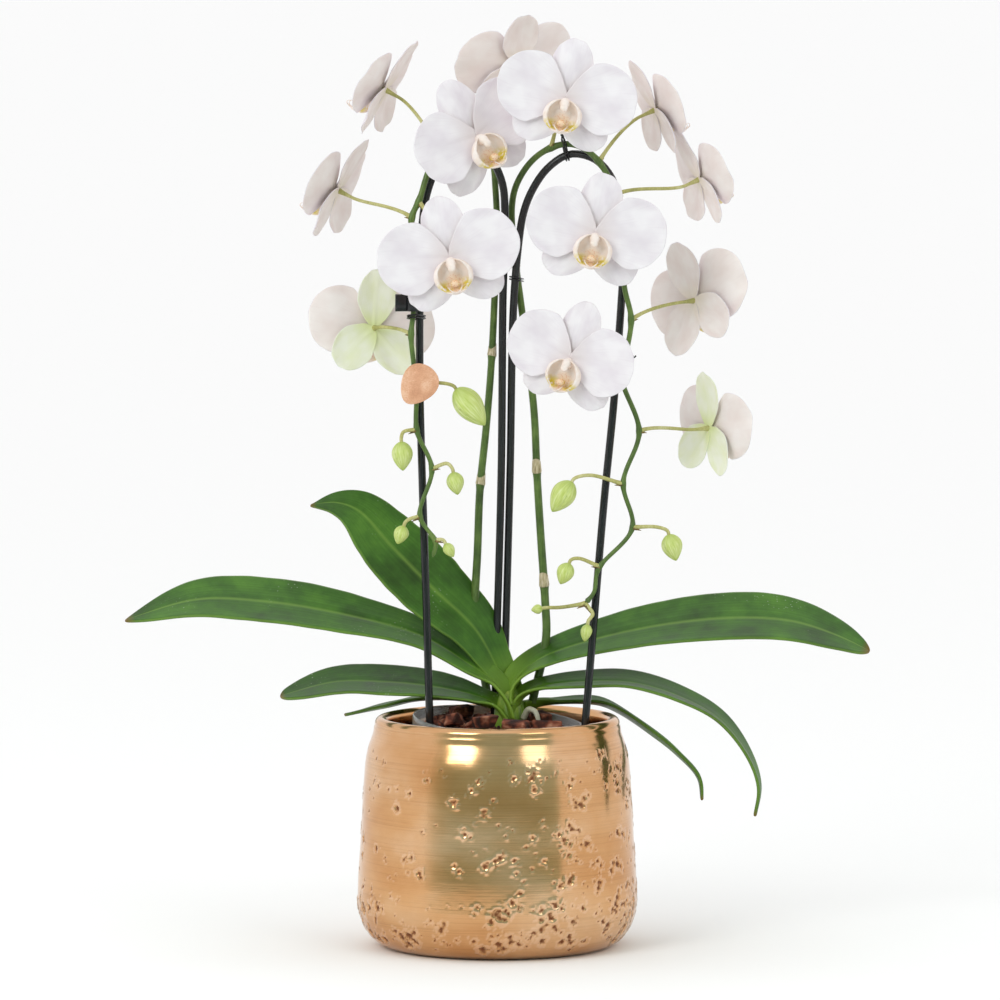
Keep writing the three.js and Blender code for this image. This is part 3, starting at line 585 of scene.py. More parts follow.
# %% Leaf skin
def leaf_skin():
    """A waxy leaf: mid green, lighter on the midrib and base, dusty spots, a brown dry tip."""
    material, tree = start_material("orchid_leaf")
    surface = add(tree, "UVMap").outputs[0]
    place = add(tree, "TexCoord").outputs["Object"]
    parts = add(tree, "SeparateXYZ", {0: surface})
    across, along = parts.outputs[0], parts.outputs[1]
    # Cells and pale flecks are 5 to 30 mm across, and drawn out along the leaf.
    cloud = mottle(tree, place, 38.0, 6.0, 0.6)
    tone = ramp(tree, cloud, (0.3, "#2C4A16"), (0.5, "#3E6820"), (0.72, "#54822C"))
    # Parallel veins, about 1.2 mm apart.
    veins = mottle(tree, surface, (34, 1.2, 1), 3.0)
    vein_tone = ramp(tree, veins, (0.35, "#DADFCC"), (0.62, "#FFFFFF"))
    veined = mix(tree, 0.7, tone, vein_tone, "MULTIPLY")
    off_middle = add(tree, "Math", {0: across, 1: 0.5}, operation="SUBTRACT")
    from_middle = add(tree, "Math", {0: off_middle.outputs[0]}, operation="ABSOLUTE")
    rib_mask = remap(tree, from_middle.outputs[0], 0.045, 0.0, 0.0, 0.4)
    ribbed = mix(tree, rib_mask, veined, "#86A848")
    edge_mask = remap(tree, from_middle.outputs[0], 0.46, 0.5, 0.0, 0.45)
    edged = mix(tree, edge_mask, ribbed, "#7C9A44")
    base_mask = remap(tree, along, 0.2, 0.0, 0.0, 0.75, interpolation_type="SMOOTHSTEP")
    based = mix(tree, base_mask, edged, "#7E9C30")
    # Dried splashes of hard water, 0.5 to 1.5 mm across, thickest on a few patches.
    drops = add(tree, "TexVoronoi", {"Vector": place, "Scale": 420.0})
    drop_mask = remap(tree, drops.outputs["Distance"], 0.2, 0.12, 0.0, 1.0)
    patch = mottle(tree, place, 26.0, 2.0)
    patch_mask = remap(tree, patch, 0.56, 0.72, 0.0, 0.5)
    dust = add(tree, "Math", {0: drop_mask, 1: patch_mask}, operation="MULTIPLY")
    dusted = mix(tree, dust.outputs[0], based, "#C4CBB8")
    tip_mask = remap(tree, along, 0.975, 1.0, 0.0, 0.9)
    tipped = mix(tree, tip_mask, dusted, "#7A5A2C")
    rough = remap(tree, cloud, 0.3, 0.7, 0.34, 0.5)
    grain = mottle(tree, place, 900.0, 2.0)
    rough_bump = bumps(tree, grain, 0.15, 0.0002)
    bump = bumps(tree, veins, 0.3, 0.0003, Normal=rough_bump)
    return finish_material(material, {
        "Base Color": tipped, "Roughness": rough, "Normal": bump,
        "IOR": 1.4, "Specular IOR Level": 0.32,
    })


orchid_leaf = leaf_skin()

# %% Lay the seven leaves along their midribs
# Midrib points, greatest width, where along the leaf that is, how far the near edge tilts down
# at the base and at the tip in degrees, the fold's depth, and how the tip closes.
LEAVES = {
    "leaf_left_1": (
        [(7, 9, 134), (4, 10, 142), (0, 10, 150), (-12, 11, 171), (-35, 13, 193),
         (-58, 18, 216), (-76, 21, 235), (-88, 23, 239), (-102, 25, 237.5)],
        46, 0.55, 48, 40, 3, 1,
    ),
    "leaf_left_2": (
        [(8, -3, 124), (6, -3, 132), (2, -1, 139), (-2, 1, 144), (-14, 2, 152), (-41, 4, 168),
         (-85, 4, 180), (-128, 2, 187), (-163, 0, 188), (-202, -2, 177)],
        46, 0.68, 26, 26, 3, 0.9,
    ),
    "leaf_left_3": (
        [(5, -2, 121), (2, -2, 127.5), (-2, -1, 132), (-14, 1, 136.5), (-36, 4, 140.5),
         (-60, 6, 142.5), (-88, 6, 142.5), (-118, 4, 135)],
        38, 0.6, 21, 19, 3, 0.55,
    ),
    "leaf_left_4": (
        [(-3, 12, 129), (-20, 26, 131.5), (-44, 38, 130), (-60, 41, 126), (-84, 43, 121)],
        24, 0.55, 2, 0, 2, 0.6,
    ),
    "leaf_right_1": (
        [(9, -1, 130), (8, 1, 139), (12, 3, 147), (24, 5, 156), (50, 7, 165), (90, 6, 173.8),
         (129, 4, 177.7), (160, 2, 176), (184, 0, 168.5), (202, -1, 160)],
        50, 0.64, 25, 25, 3, 0.6,
    ),
    "leaf_right_2": (
        [(10, -2, 125), (11, -1, 131), (14, 0, 136), (25, 1, 141), (51, 3, 143.3),
         (74, 2, 142.5), (98, -4, 136), (120, -9, 124), (136, -13, 104), (141.5, -15, 88),
         (139.6, -16, 72)],
        34, 0.42, 17, -2, 3, 0.8,
    ),
    "leaf_right_3": (
        [(14, 11, 127), (26, 18, 130), (48, 27, 129.8), (58, 30, 128), (69, 32, 122.5),
         (84, 33, 112), (98, 32, 101), (110, 28, 88), (112, 24, 76)],
        22, 0.5, 0, 4, 3, 0.6,
    ),
}
LEAF_ROWS = 72
LEAF_COLUMNS = 16
LEAF_THICKNESS = 1.7
CLASP = 4.5  # how far a leaf's base wraps forward round the crown, in millimetres


def leaf_half_width(t, width, widest, close):
    base = 0.3 + 0.7 * math.sin(math.pi / 2 * min(1, t / widest)) ** 1.4
    past = max(0.0, (t - widest) / (1 - widest))
    tip = max(0.0, 1 - past ** 2.2) ** close
    return width / 2 * max(0.02, base * tip)


def orchid_leaf_piece(name, rib, width, widest, tilt_base, tilt_tip, fold, close):
    line = smooth_line(rib, LEAF_ROWS)
    heading = line[-1] - line[0]
    heading.z = 0
    heading.normalize()
    side_sign = -1 if heading.x < 0 else 1
    level = Vector((heading.y, -heading.x, 0)) * side_sign
    bm = bmesh.new()
    uv = bm.loops.layers.uv.new("UVMap")
    made = bmesh.ops.create_grid(bm, x_segments=LEAF_COLUMNS, y_segments=LEAF_ROWS, size=1.0)
    grid_place = {}
    for v in made["verts"]:
        side, t = v.co.x, (v.co.y + 1) / 2
        grid_place[v] = (side / 2 + 0.5, t)
        row = min(LEAF_ROWS, max(0, round(t * LEAF_ROWS)))
        spot = line[row]
        along = (line[min(LEAF_ROWS, row + 1)] - line[max(0, row - 1)]).normalized()
        near = (level - along * level.dot(along)).normalized()
        upward = along.cross(near) * -side_sign
        tilt = math.radians(tilt_base + (tilt_tip - tilt_base) * t)
        across = near * math.cos(tilt) - upward * math.sin(tilt)
        normal = upward * math.cos(tilt) + near * math.sin(tilt)
        half = leaf_half_width(t, width, widest, close)
        clasp = CLASP * max(0.0, 1 - t / 0.16) * side * side
        lift = fold * (1 - 0.5 * t) * abs(side) ** 1.6 * half / (width / 2) + clasp
        groove = 0.9 * (1 - t) * math.exp(-(side / 0.08) ** 2)
        wave = 0.9 * noise.noise(Vector((t * 5, side * 0.7, width))) * abs(side)
        nick = 1 + 0.02 * noise.noise(Vector((t * 22, side, width)))
        v.co = spot + across * (side * half * nick * MM) + normal * ((lift - groove + wave) * MM)
    for face in bm.faces:
        for loop in face.loops:
            loop[uv].uv = grid_place[loop.vert]
    bm.normal_update()
    if sum(f.normal.z for f in bm.faces) < 0:
        bmesh.ops.reverse_faces(bm, faces=bm.faces)
    bmesh.ops.remove_doubles(bm, verts=bm.verts, dist=1e-5)
    piece = finish_piece(f"orchid_{name}", to_mesh(bm, name), [orchid_leaf], "leaf_green", name)
    thick = piece.modifiers.new("leaf_thickness", "SOLIDIFY")
    thick.thickness = LEAF_THICKNESS * MM
    thick.offset = 0
    rounding = piece.modifiers.new("rounded_edge", "SUBSURF")
    rounding.levels = rounding.render_levels = 1


for name, leaf in LEAVES.items():
    orchid_leaf_piece(name, *leaf)

# %% [markdown]
# ## Crown and roots
# The leaves grow from a short upright stem, which their bases hide almost wholly. Its roots run
# down into the bark. One aerial root arches over the bark: it is covered in velamen, a spongy
# silver skin. The crown is turned and then fluted, and the roots are swept.

# %% Growing tissue: crown, stems and roots
def growing_green(name, dark, middle, light, gloss):
    """Fleshy green tissue with a thin wax: slow colour clouds and very fine lengthwise streaks."""
    material, tree = start_material(name)
    place = add(tree, "TexCoord").outputs["Object"]
    cloud = mottle(tree, place, 60.0, 5.0, 0.6)
    streak = mottle(tree, place, (1500, 1500, 120), 2.0)
    blend = add(tree, "Math", {0: streak, 1: 0.35, 2: cloud}, operation="MULTIPLY_ADD")
    tone = ramp(tree, blend.outputs[0], (0.45, dark), (0.66, middle), (0.88, light))
    bump = bumps(tree, streak, 0.25, 0.0002)
    return finish_material(material, {
        "Base Color": tone, "Roughness": gloss, "Normal": bump,
        "IOR": 1.45,
    })


crown_flesh = growing_green("crown_flesh", "#557A24", "#7A9A2E", "#A3AE4C", 0.42)
stalk_skin = growing_green("stalk_skin", "#8E8C4E", "#B4AF6C", "#CFCA96", 0.5)
stem_skin = growing_green("spike_skin", "#3A4F20", "#50692C", "#6E8640", 0.4)
velamen = growing_green("root_velamen", "#8A8670", "#ADA994", "#CFCBBC", 0.7)

CROWN = Vector((6, 2, 113)) * MM
ROOT_TIPS = [(-22, -12, 70), (20, -20, 78), (26, 14, 64), (-14, 24, 74), (4, -26, 60)]


def crown_and_roots():
    profile = smooth_profile(
        [(0, 0), (8.2, 0.3), (8.8, 6), (8.4, 12), (7, 19), (4.4, 24), (1.6, 25.7), (0, 26)], 26,
    )
    bm = spun([(0, 0), *profile[1:-1], (0, 26)], 48)
    for v in bm.verts:
        turn = math.atan2(v.co.y, v.co.x)
        flute = 1 + 0.07 * math.cos(2 * turn + v.co.z * 60) + 0.03 * math.cos(7 * turn)
        v.co = Vector((v.co.x * 0.9 * flute, v.co.y * 1.1 * flute, v.co.z)) + CROWN
    roots = []
    for tip in ROOT_TIPS:
        start = CROWN + Vector((0, 0, 6)) * MM
        end = Vector(tip) * MM
        bend = start.lerp(end, 0.5) + Vector(((end.x - start.x) * 0.2, (end.y - start.y) * 0.2, -2 * MM))
        line = [start.lerp(bend, t / 14).lerp(bend.lerp(end, t / 14), t / 14) for t in range(15)]
        roots.append([(p, (2.4 - 0.08 * i) * MM) for i, p in enumerate(line)])
    add_mesh(bm, swept_mesh("roots", roots, 4))
    finish_piece(
        "crown_and_roots", to_mesh(bm, "crown_and_roots"), [crown_flesh], "crown_green", "plant_crown",
    )
    air = smooth_line([(14, -5, 124), (17, -7.5, 129.5), (20.5, -9.5, 128.5), (23, -11, 121)], 30)
    rod = [(p, (1.8 - i / 45 - (0.9 if i in (0, 30) else 0)) * MM) for i, p in enumerate(air)]
    finish_piece("silver_air_root", swept_mesh("air_root", [rod], 5), [velamen], "root_grey", "aerial_root")


crown_and_roots()

# %% [markdown]
# ## Flower spikes
# A spike is a stem that tapers from 4.7 to 2.2 mm, with a joint every few centimetres. Low down
# each joint is wrapped in a papery sheath. Higher up each joint bears a flower or a bud on its
# own thin stalk, over a small dry scale. The stalks are paler than the stem, so they are a piece
# of their own. The stem thickens where a stalk leaves it, which is done by adding to the sweep's
# radius near each stalk.

# %% Where each flower and bud is
# Flowers: the way it faces, its lean to the right in degrees, its size, its centre, and where
# on the stem its stalk starts.
LEFT_FLOWERS = {
    "flower_left_1": ((-0.5, 0.78, 0.38), 8, 0.94, (10.2, 30, 477.4), (-5, 6.5, 432)),
    "flower_left_2": ((0.42, -0.9, 0.1), -28, 1, (-11.5, -22, 440.4), (-12, 2.5, 440.4)),
    "flower_left_3": ((-0.82, 0.25, 0.46), 0, 0.94, (-61, 1, 465), (-30, -8.5, 431.5)),
    "flower_left_4": ((-0.85, 0.3, 0.42), 0, 0.96, (-86.5, 4, 410.5), (-45.9, -15, 396.5)),
    "flower_left_5": ((0, -1, 0), -12, 1, (-25.3, -38, 375.7), (-41.5, -14, 405)),
    "flower_left_6": ((-0.35, 0.9, -0.1), -6, 0.95, (-67, 10, 335.4), (-46.4, -16.5, 332.9)),
}
RIGHT_FLOWERS = {
    "flower_right_1": ((0, -1, 0.05), 11, 0.98, (36.6, -38, 460.6), (29, 0, 433)),
    "flower_right_2": ((0.86, 0.3, 0.38), 0, 0.9, (86, 6, 454), (55, -13, 426)),
    "flower_right_3": ((0.84, 0.34, 0.36), 0, 0.9, (110, 5, 416.5), (63, -14.5, 408)),
    "flower_right_4": ((0, -1, 0.03), 10, 0.98, (52.6, -42, 388.8), (66.4, -15, 393)),
    "flower_right_5": ((0.7, 0.68, 0.05), 20, 0.98, (107, 10, 350.3), (72.1, -17, 341.6)),
    "flower_right_6": ((-0.3, -0.94, 0.03), 16, 0.94, (39.6, -40, 321.7), (67.3, -17.5, 309.2)),
    "flower_right_7": ((0.84, 0.52, 0.05), -4, 0.92, (115.5, 5, 281.5), (76.5, -18, 281.1)),
}
# Buds: base, tip, width, and the first two points of the stalk.
LEFT_BUDS = {
    "bud_left_1": ((-22.5, -19, 304.5), (-6.5, -19, 284.5), 16, (-43.4, -17.6, 305), (-32, -19, 307.5)),
    "bud_left_2": ((-51.6, -19, 276), (-50.8, -19, 260), 12, (-43.3, -18, 281.7), (-50.5, -19, 281)),
    "bud_left_3": ((-23.8, -19.5, 259.5), (-21.2, -19.5, 247), 10, (-35.2, -19, 261), (-27, -19.5, 264)),
    "bud_left_4": ((-50.2, -21, 230.5), (-53.8, -21, 220.5), 8.6, (-41.7, -20, 235.7), (-47.5, -21, 234)),
    "bud_left_5": ((-28, -21, 221), (-23.5, -21, 213.5), 6.6, (-33.6, -20.3, 222.5), (-30, -21, 223)),
}
RIGHT_BUDS = {
    "bud_right_1": ((40.5, -21, 254.5), (29.5, -21, 238), 14, (67.9, -19, 253.5), (50, -21, 257.8)),
    "bud_right_2": ((92.3, -21, 226), (96.5, -21, 211.5), 12, (72.8, -20, 229.1), (86, -21, 229.8)),
    "bud_right_3": ((39, -23, 210.5), (34, -23, 199), 10, (54.4, -22.5, 208), (44, -23, 213)),
    "bud_right_4": ((24.5, -23, 186), (18.3, -23, 185), 5.5, (47.5, -22.5, 188.5), (34, -23, 186.5)),
    "bud_right_5": ((48.8, -24, 177.5), (47, -24, 168), 6.6, (47.8, -22.5, 188.5), (51.5, -24, 183)),
}
LEFT_STEM = [
    (-4.6, 12.6, 131), (-8, 18, 150), (-12, 20, 170), (-12.1, 19.5, 187), (-10.8, 17, 212),
    (-9.4, 15, 247), (-6.1, 14, 280), (-3.4, 13, 312.8), (-1.7, 12, 345.4), (-0.2, 12, 388.8),
    (-0.9, 11, 410), (-3, 8, 427), (-12, 2.5, 441.5), (-23.5, -3.5, 441), (-32.6, -9.5, 431.5),
    (-38, -13, 418.5), (-41.8, -14.5, 406), (-45.9, -15, 396.5), (-45.6, -16, 378.8),
    (-45.1, -16, 346.4), (-46.4, -16.5, 332.9), (-44.9, -17, 316.8), (-43.4, -17.6, 303),
    (-43.3, -18, 281.7), (-35.2, -19, 261), (-41.7, -20, 235.7), (-33.2, -20.5, 221.5),
    (-34.7, -21, 213.5),
]
RIGHT_STEM = [
    (19, 12, 131), (26.5, 12, 166), (26, 12, 187.5), (23.8, 12.5, 220), (21.6, 13, 255.5),
    (19.9, 13, 291), (14, 12.5, 339.8), (8.6, 12.5, 383), (8, 12.5, 402), (10.4, 10, 413),
    (17.7, 6, 425), (27, 1.5, 432.4), (38.7, -4.5, 435.6), (49, -10.8, 431.8), (58.4, -14, 420.7),
    (66.3, -15, 397.6), (68.3, -16, 360), (72.1, -17, 341.6), (68.9, -17, 320.5),
    (67.3, -17.5, 309.2), (76.5, -18, 281.1), (67.9, -19, 253.5), (72.8, -20, 229.1),
    (54.4, -22.5, 207), (52.3, -22.5, 195), (47.5, -22.5, 188.5),
]
STEM_STEPS = 300
STUB = 9 * MM  # from a flower's centre back to where its stalk begins


def flower_forward(facing):
    return Vector(facing).normalized()


# %% Papery sheaths and dry scales
def papery_sheath():
    """A dead sheath at a joint: thin as paper, straw and pink."""
    material, tree = start_material("papery_sheath")
    place = add(tree, "TexCoord").outputs["Object"]
    fibre = mottle(tree, place, (1400, 1400, 200), 3.0)
    tone = ramp(tree, fibre, (0.3, "#8A7A58"), (0.5, "#BDAF8C"), (0.7, "#DDD0BC"))
    bump = bumps(tree, fibre, 0.4, 0.0003)
    return finish_material(material, {
        "Base Color": tone, "Roughness": 0.75, "Normal": bump,
    })


def dry_scale_brown():
    """The dry scale under a stalk: brown, matt and brittle."""
    material, tree = start_material("dry_scale")
    place = add(tree, "TexCoord").outputs["Object"]
    fleck = mottle(tree, place, 700.0, 4.0)
    tone = ramp(tree, fleck, (0.35, "#4A3A20"), (0.6, "#8A7440"))
    return finish_material(material, {"Base Color": tone, "Roughness": 0.7})


sheath_paper = papery_sheath()
dry_scale = dry_scale_brown()


# %% Sweep the spikes with their stalks
def flower_stalk(stem, facing, centre, start_near):
    forward = flower_forward(facing)
    centre = Vector(centre) * MM
    start = stem[nearest(stem, Vector(start_near) * MM)]
    end = centre - forward * (STUB + 0.4 * MM)
    reach = (end - start).length / 3
    lift = start.lerp(end, 0.3) + UP * reach * 0.3
    approach = end - forward * reach * 0.7
    line = []
    for i in range(25):
        t = i / 24
        u = 1 - t
        line.append(start * u ** 3 + lift * 3 * u * u * t + approach * 3 * u * t * t + end * t ** 3)
    rod = [(p, (1.0 - 0.1 * i / 24 + 0.6 * math.exp(-i / 2)) * MM) for i, p in enumerate(line)]
    rod += [(end + forward * f * MM, r * MM) for f, r in ((2, 0.95), (5, 1.2), (8, 1.6), (10, 1.4))]
    return rod


def bud_stalk(stem, base, tip, start_near, bend):
    along = (Vector(tip) - Vector(base)).normalized()
    start = stem[nearest(stem, Vector(start_near) * MM)] / MM
    end = Vector(base) + along * 1.2
    line = smooth_line([start, bend, end - along * 3, end], 22)
    return [(p, (1.05 - 0.1 * i / 22 + 0.6 * math.exp(-i / 2)) * MM) for i, p in enumerate(line)]


def dry_scales(bm, stalks):
    """A small pointed scale below the start of each stalk."""
    for rod in stalks:
        start, away = rod[0][0], (rod[4][0] - rod[0][0]).normalized()
        made = bmesh.ops.create_cone(
            bm, segments=8, radius1=1.5 * MM, radius2=0.15 * MM, depth=4.6 * MM, cap_ends=True,
        )
        turn = away.lerp(-UP, 0.25).normalized().to_track_quat("Z", "Y").to_matrix().to_4x4()
        flat = Matrix.Diagonal((1.25, 0.7, 1.0, 1.0))
        spot = start + away * 2.6 * MM - UP * 1.3 * MM
        bmesh.ops.transform(bm, matrix=Matrix.Translation(spot) @ turn @ flat, verts=made["verts"])


def flower_spike(side, points, joints, flowers, buds):
    stem = smooth_line(points, STEM_STEPS)
    stalks = [flower_stalk(stem, facing, centre, start) for facing, _, _, centre, start in flowers.values()]
    stalks += [bud_stalk(stem, base, tip, start, bend) for base, tip, _, start, bend in buds.values()]
    knots = [rod[0][0] for rod in stalks] + [stem[joint_row(stem, z)] for z in joints]
    rod = []
    for i, point in enumerate(stem):
        t = i / STEM_STEPS
        swell = sum(math.exp(-((point - knot).length / (2.6 * MM)) ** 2) for knot in knots)
        rod.append((point, (2.35 - 1.25 * t + 0.5 * min(1.0, swell)) * MM))
    rod[-1] = (rod[-1][0], 0.4 * MM)
    finish_piece(
        f"flower_spike_{side}", swept_mesh(f"flower_spike_{side}", [rod], 4),
        [stem_skin], "stem_green", f"spike_{side}",
    )
    finish_piece(f"stalks_{side}", swept_mesh(f"stalks_{side}", stalks, 4), [stalk_skin], "stem_green")
    sheaths = bmesh.new()
    for z in joints:
        row = joint_row(stem, z)
        joint_sheath(sheaths, stem[row], (stem[row + 3] - stem[row - 3]).normalized(), rod[row + 6][1])
    finish_piece(f"sheaths_{side}", to_mesh(sheaths, f"sheaths_{side}"), [sheath_paper], "stem_green")
    scales = bmesh.new()
    dry_scales(scales, stalks)
    finish_piece(f"dry_scales_{side}", to_mesh(scales, f"dry_scales_{side}"), [dry_scale], "stem_green")
    return stem


def joint_row(stem, height):
    """The first point of the stem, from its foot, that is as high as the joint."""
    return next(i for i, p in enumerate(stem) if p.z >= height * MM)


def joint_sheath(bm, middle, along, radius):
    """A split sleeve that wraps the stem above a joint and ends in a slanted edge."""
    stem_radius = radius / MM
    profile = [
        (stem_radius - 0.2, -1.6), (stem_radius + 0.5, -1.4), (stem_radius + 0.65, -0.6),
        (stem_radius + 0.45, 1.6), (stem_radius + 0.25, 4.4), (stem_radius - 0.1, 4.6),
    ]
    sleeve = spun(profile, 24)
    for v in sleeve.verts:
        v.co.z *= 1 + 0.35 * v.co.x / (stem_radius * MM)
    turn = along.to_track_quat("Z", "Y").to_matrix().to_4x4()
    bmesh.ops.transform(sleeve, matrix=Matrix.Translation(middle) @ turn, verts=sleeve.verts)
    add_mesh(bm, to_mesh(sleeve, "sleeve"))


left_stem = flower_spike("left", LEFT_STEM, [250, 320], LEFT_FLOWERS, LEFT_BUDS)
right_stem = flower_spike("right", RIGHT_STEM, [196, 257, 368], RIGHT_FLOWERS, RIGHT_BUDS)

# %% [markdown]
# ## Petal and lip finishes
# The flower of a moth orchid is white because its cells are full of air, so light scatters in it
# and it is never as bright as paper. Very fine veins fan out from its base. Seen from behind it
# is a warm greyish pink. The youngest flowers keep some green on their sepals. The lip has two
# yellow patches and a sprinkling of orange-brown dots, which are drawn from the flower's own
# coordinates in millimetres, stored with the mesh as an attribute named flower_place.

# %% Petal skin
def petal_skin(name, body, shade, base, vein):
    """A thin fleshy petal: soft and matt, with veins about 1.5 mm apart."""
    material, tree = start_material(name)
    surface = add(tree, "UVMap").outputs[0]
    parts = add(tree, "SeparateXYZ", {0: surface})
    across, along = parts.outputs[0], parts.outputs[1]
    # The veins fan out: the distance from the midline is divided by the way up the petal.
    off_middle = add(tree, "Math", {0: across, 1: 0.5}, operation="SUBTRACT")
    spread = remap(tree, along, 0.0, 0.8, 0.35, 1.0)
    fan = add(tree, "Math", {0: off_middle.outputs[0], 1: spread}, operation="DIVIDE")
    fan_place = add(tree, "CombineXYZ", {0: fan.outputs[0], 1: along})
    veins = mottle(tree, fan_place.outputs[0], (26, 1.6, 1), 2.0)
    vein_mask = remap(tree, veins, 0.54, 0.78, 0.0, 0.3)
    soft = mottle(tree, surface, (3, 2.4, 1), 2.0)
    tone = ramp(tree, soft, (0.3, shade), (0.62, body))
    veined = mix(tree, vein_mask, tone, vein)
    base_mask = remap(tree, along, 0.42, 0.0, 0.0, 0.85, interpolation_type="SMOOTHSTEP")
    based = mix(tree, base_mask, veined, base)
    bump = bumps(tree, veins, 0.08, 0.0003)
    return finish_material(material, {
        "Base Color": based, "Roughness": 0.52, "Normal": bump, "IOR": 1.38,
        "Specular IOR Level": 0.3,
    })


petal_front = petal_skin("petal_front", "#ECE6EB", "#DFD6DE", "#DCD0D2", "#D6CAD3")
petal_back = petal_skin("petal_back", "#F3E9E7", "#EBDCD9", "#E8DACB", "#E6D6D4")
young_front = petal_skin("young_petal_front", "#ECEDE6", "#E6E8D6", "#E2E8B8", "#E4E8CE")
young_back = petal_skin("young_petal_back", "#F3F3E2", "#EBEDCC", "#DCE49C", "#E2E6B4")


# %% Lip and column skin
def lip_skin():
    """The lip: white outside, yellow patches and orange dots within. Light comes through its thin
    walls, so a weak glow stands for what they pass on."""
    material, tree = start_material("lip_skin")
    place = add(tree, "Attribute", attribute_name="flower_place").outputs["Vector"]
    parts = add(tree, "SeparateXYZ", {0: place})
    across = add(tree, "Math", {0: parts.outputs[0]}, operation="ABSOLUTE")
    # Each yellow patch is an oval 7 mm long, low on the inside of a side lobe.
    side = add(tree, "CombineXYZ", {0: across.outputs[0], 1: parts.outputs[1], 2: parts.outputs[2]})
    to_patch = add(tree, "VectorMath", {0: side.outputs[0], 1: (5.2, 7.0, -14.4)}, operation="DISTANCE")
    patch = remap(tree, to_patch.outputs["Value"], 5.2, 2.6, 0.0, 1.0)
    warm = add(tree, "VectorMath", {0: place, 1: (0.0, 7.0, -13.0)}, operation="DISTANCE")
    throat = remap(tree, warm.outputs["Value"], 7.0, 2.5, 0.0, 0.75)
    blotch = mottle(tree, place, 0.5, 3.0)
    patchy = remap(tree, blotch, 0.36, 0.5, 0.0, 1.0)
    patch_mask = add(tree, "Math", {0: patch, 1: patchy}, operation="MULTIPLY")
    dots = add(tree, "TexVoronoi", {"Vector": place, "Scale": 0.85})
    dot = remap(tree, dots.outputs["Distance"], 0.42, 0.28, 0.0, 0.9)
    dot_mask = add(tree, "Math", {0: dot, 1: throat}, operation="MULTIPLY")
    shade = mottle(tree, place, 0.22, 2.0)
    white = ramp(tree, shade, (0.3, "#E6D4C8"), (0.65, "#EDE1DC"))
    blush = mix(tree, throat, white, "#EABF8A")
    yellow = mix(tree, patch_mask.outputs[0], blush, "#D8C23A")
    dotted = mix(tree, dot_mask.outputs[0], yellow, "#D07A3A")
    bump = bumps(tree, blotch, 0.15, 0.0004)
    return finish_material(material, {
        "Base Color": dotted, "Roughness": 0.45, "Normal": bump, "IOR": 1.4,
        "Emission Color": dotted, "Emission Strength": 0.05,
    })


lip_finish = lip_skin()

# %% [markdown]
# ## Flowers
# Each flower has three sepals behind two broader petals, and in the middle a three-lobed
# lip round a short column. All are bent sheets. A petal's grid is pressed into a disc, narrowed
# to a claw at its base and waved a little, differently in each flower, so that no two are
# copies. Solidify gives it half a millimetre and puts the back's finish on its back. The
# flower's place comes from the plain model: the end of its stub is the plain piece's furthest
# point behind it.

# %% Sepals and petals as bent sheets
SEPALS = [  # length, width, turn about the facing way, place in front, tilt back, claw, cup
    (35, 24, 0, 0.0, 5, 0.55, 1.6), (34.5, 24.5, 134, -0.3, 6, 0.66, 1.8),
    (34.5, 24.5, -134, -0.6, 6, 0.66, 1.8),
]
PETALS = [(40.5, 39.5, 80, 2.2, -3, 0.42, -1.4), (40.5, 39.5, -80, 2.6, -3, 0.42, -1.4)]
SHEET_GRID = 18
PETAL_THICKNESS = 0.55
LIP_THICKNESS = 0.7


def bent_sheet(bm, uv, seed, length, width, turn, forward, tilt, claw, cup, size):
    """One sepal or petal in the flower's own frame: it grows up +Z and faces +Y."""
    made = bmesh.ops.create_grid(bm, x_segments=SHEET_GRID, y_segments=SHEET_GRID, size=1.0)
    verts = made["verts"]
    faces = {f for v in verts for f in v.link_faces}
    wide = width > 30
    surface_place = {}
    for v in verts:
        x, y = v.co.x, v.co.y
        side = x * math.sqrt(1 - y * y / 2)
        up = (y * math.sqrt(1 - x * x / 2) + 1) / 2
        narrowing = claw + (1 - claw) * min(1.0, up / 0.42) ** (0.75 if wide else 1.0)
        surface_place[v] = (side * narrowing / 2 + 0.5, up)
        point = Vector((turn * 0.01 + side * 1.5, up * 2.1, seed))
        ripple = noise.noise(point) * 2.0 * up
        edge = side * side + max(0.0, up - 0.6) ** 2 * 3
        groove = -0.5 * math.exp(-(side / 0.09) ** 2) * (1 - up)
        bow = cup * (math.sin(math.pi * min(1.0, up)) - edge * 0.9)
        v.co = Vector((
            side * narrowing * width / 2,
            bow + ripple + groove,
            length * (up * 0.985 - 0.015 + 0.02 * noise.noise(point * 2.2)),
        ))
    for face in faces:
        for loop in face.loops:
            loop[uv].uv = surface_place[loop.vert]
    if sum(f.normal.y for f in faces if f.normal_update() is None) < 0:
        bmesh.ops.reverse_faces(bm, faces=list(faces))
    place = (
        Matrix.Rotation(math.radians(turn), 4, "Y") @ Matrix.Rotation(math.radians(tilt), 4, "X")
        @ Matrix.Translation((0, forward, 0))
    )
    bmesh.ops.transform(bm, matrix=Matrix.Scale(size * MM, 4) @ place, verts=verts)


def sheet_piece(name, seed, sheets, size, matrix, front, back, node):
    bm = bmesh.new()
    uv = bm.loops.layers.uv.new("UVMap")
    for sheet in sheets:
        bent_sheet(bm, uv, seed, *sheet, size)
    bmesh.ops.transform(bm, matrix=matrix, verts=bm.verts)
    piece = finish_piece(name, to_mesh(bm, name), [front, back], "petal_white", node)
    thick = piece.modifiers.new("petal_thickness", "SOLIDIFY")
    thick.thickness = PETAL_THICKNESS * MM
    thick.offset = -1
    thick.material_offset = 1
    thick.material_offset_rim = 0
    rounding = piece.modifiers.new("rounded_edge", "SUBSURF")
    rounding.levels = rounding.render_levels = 1
    return piece


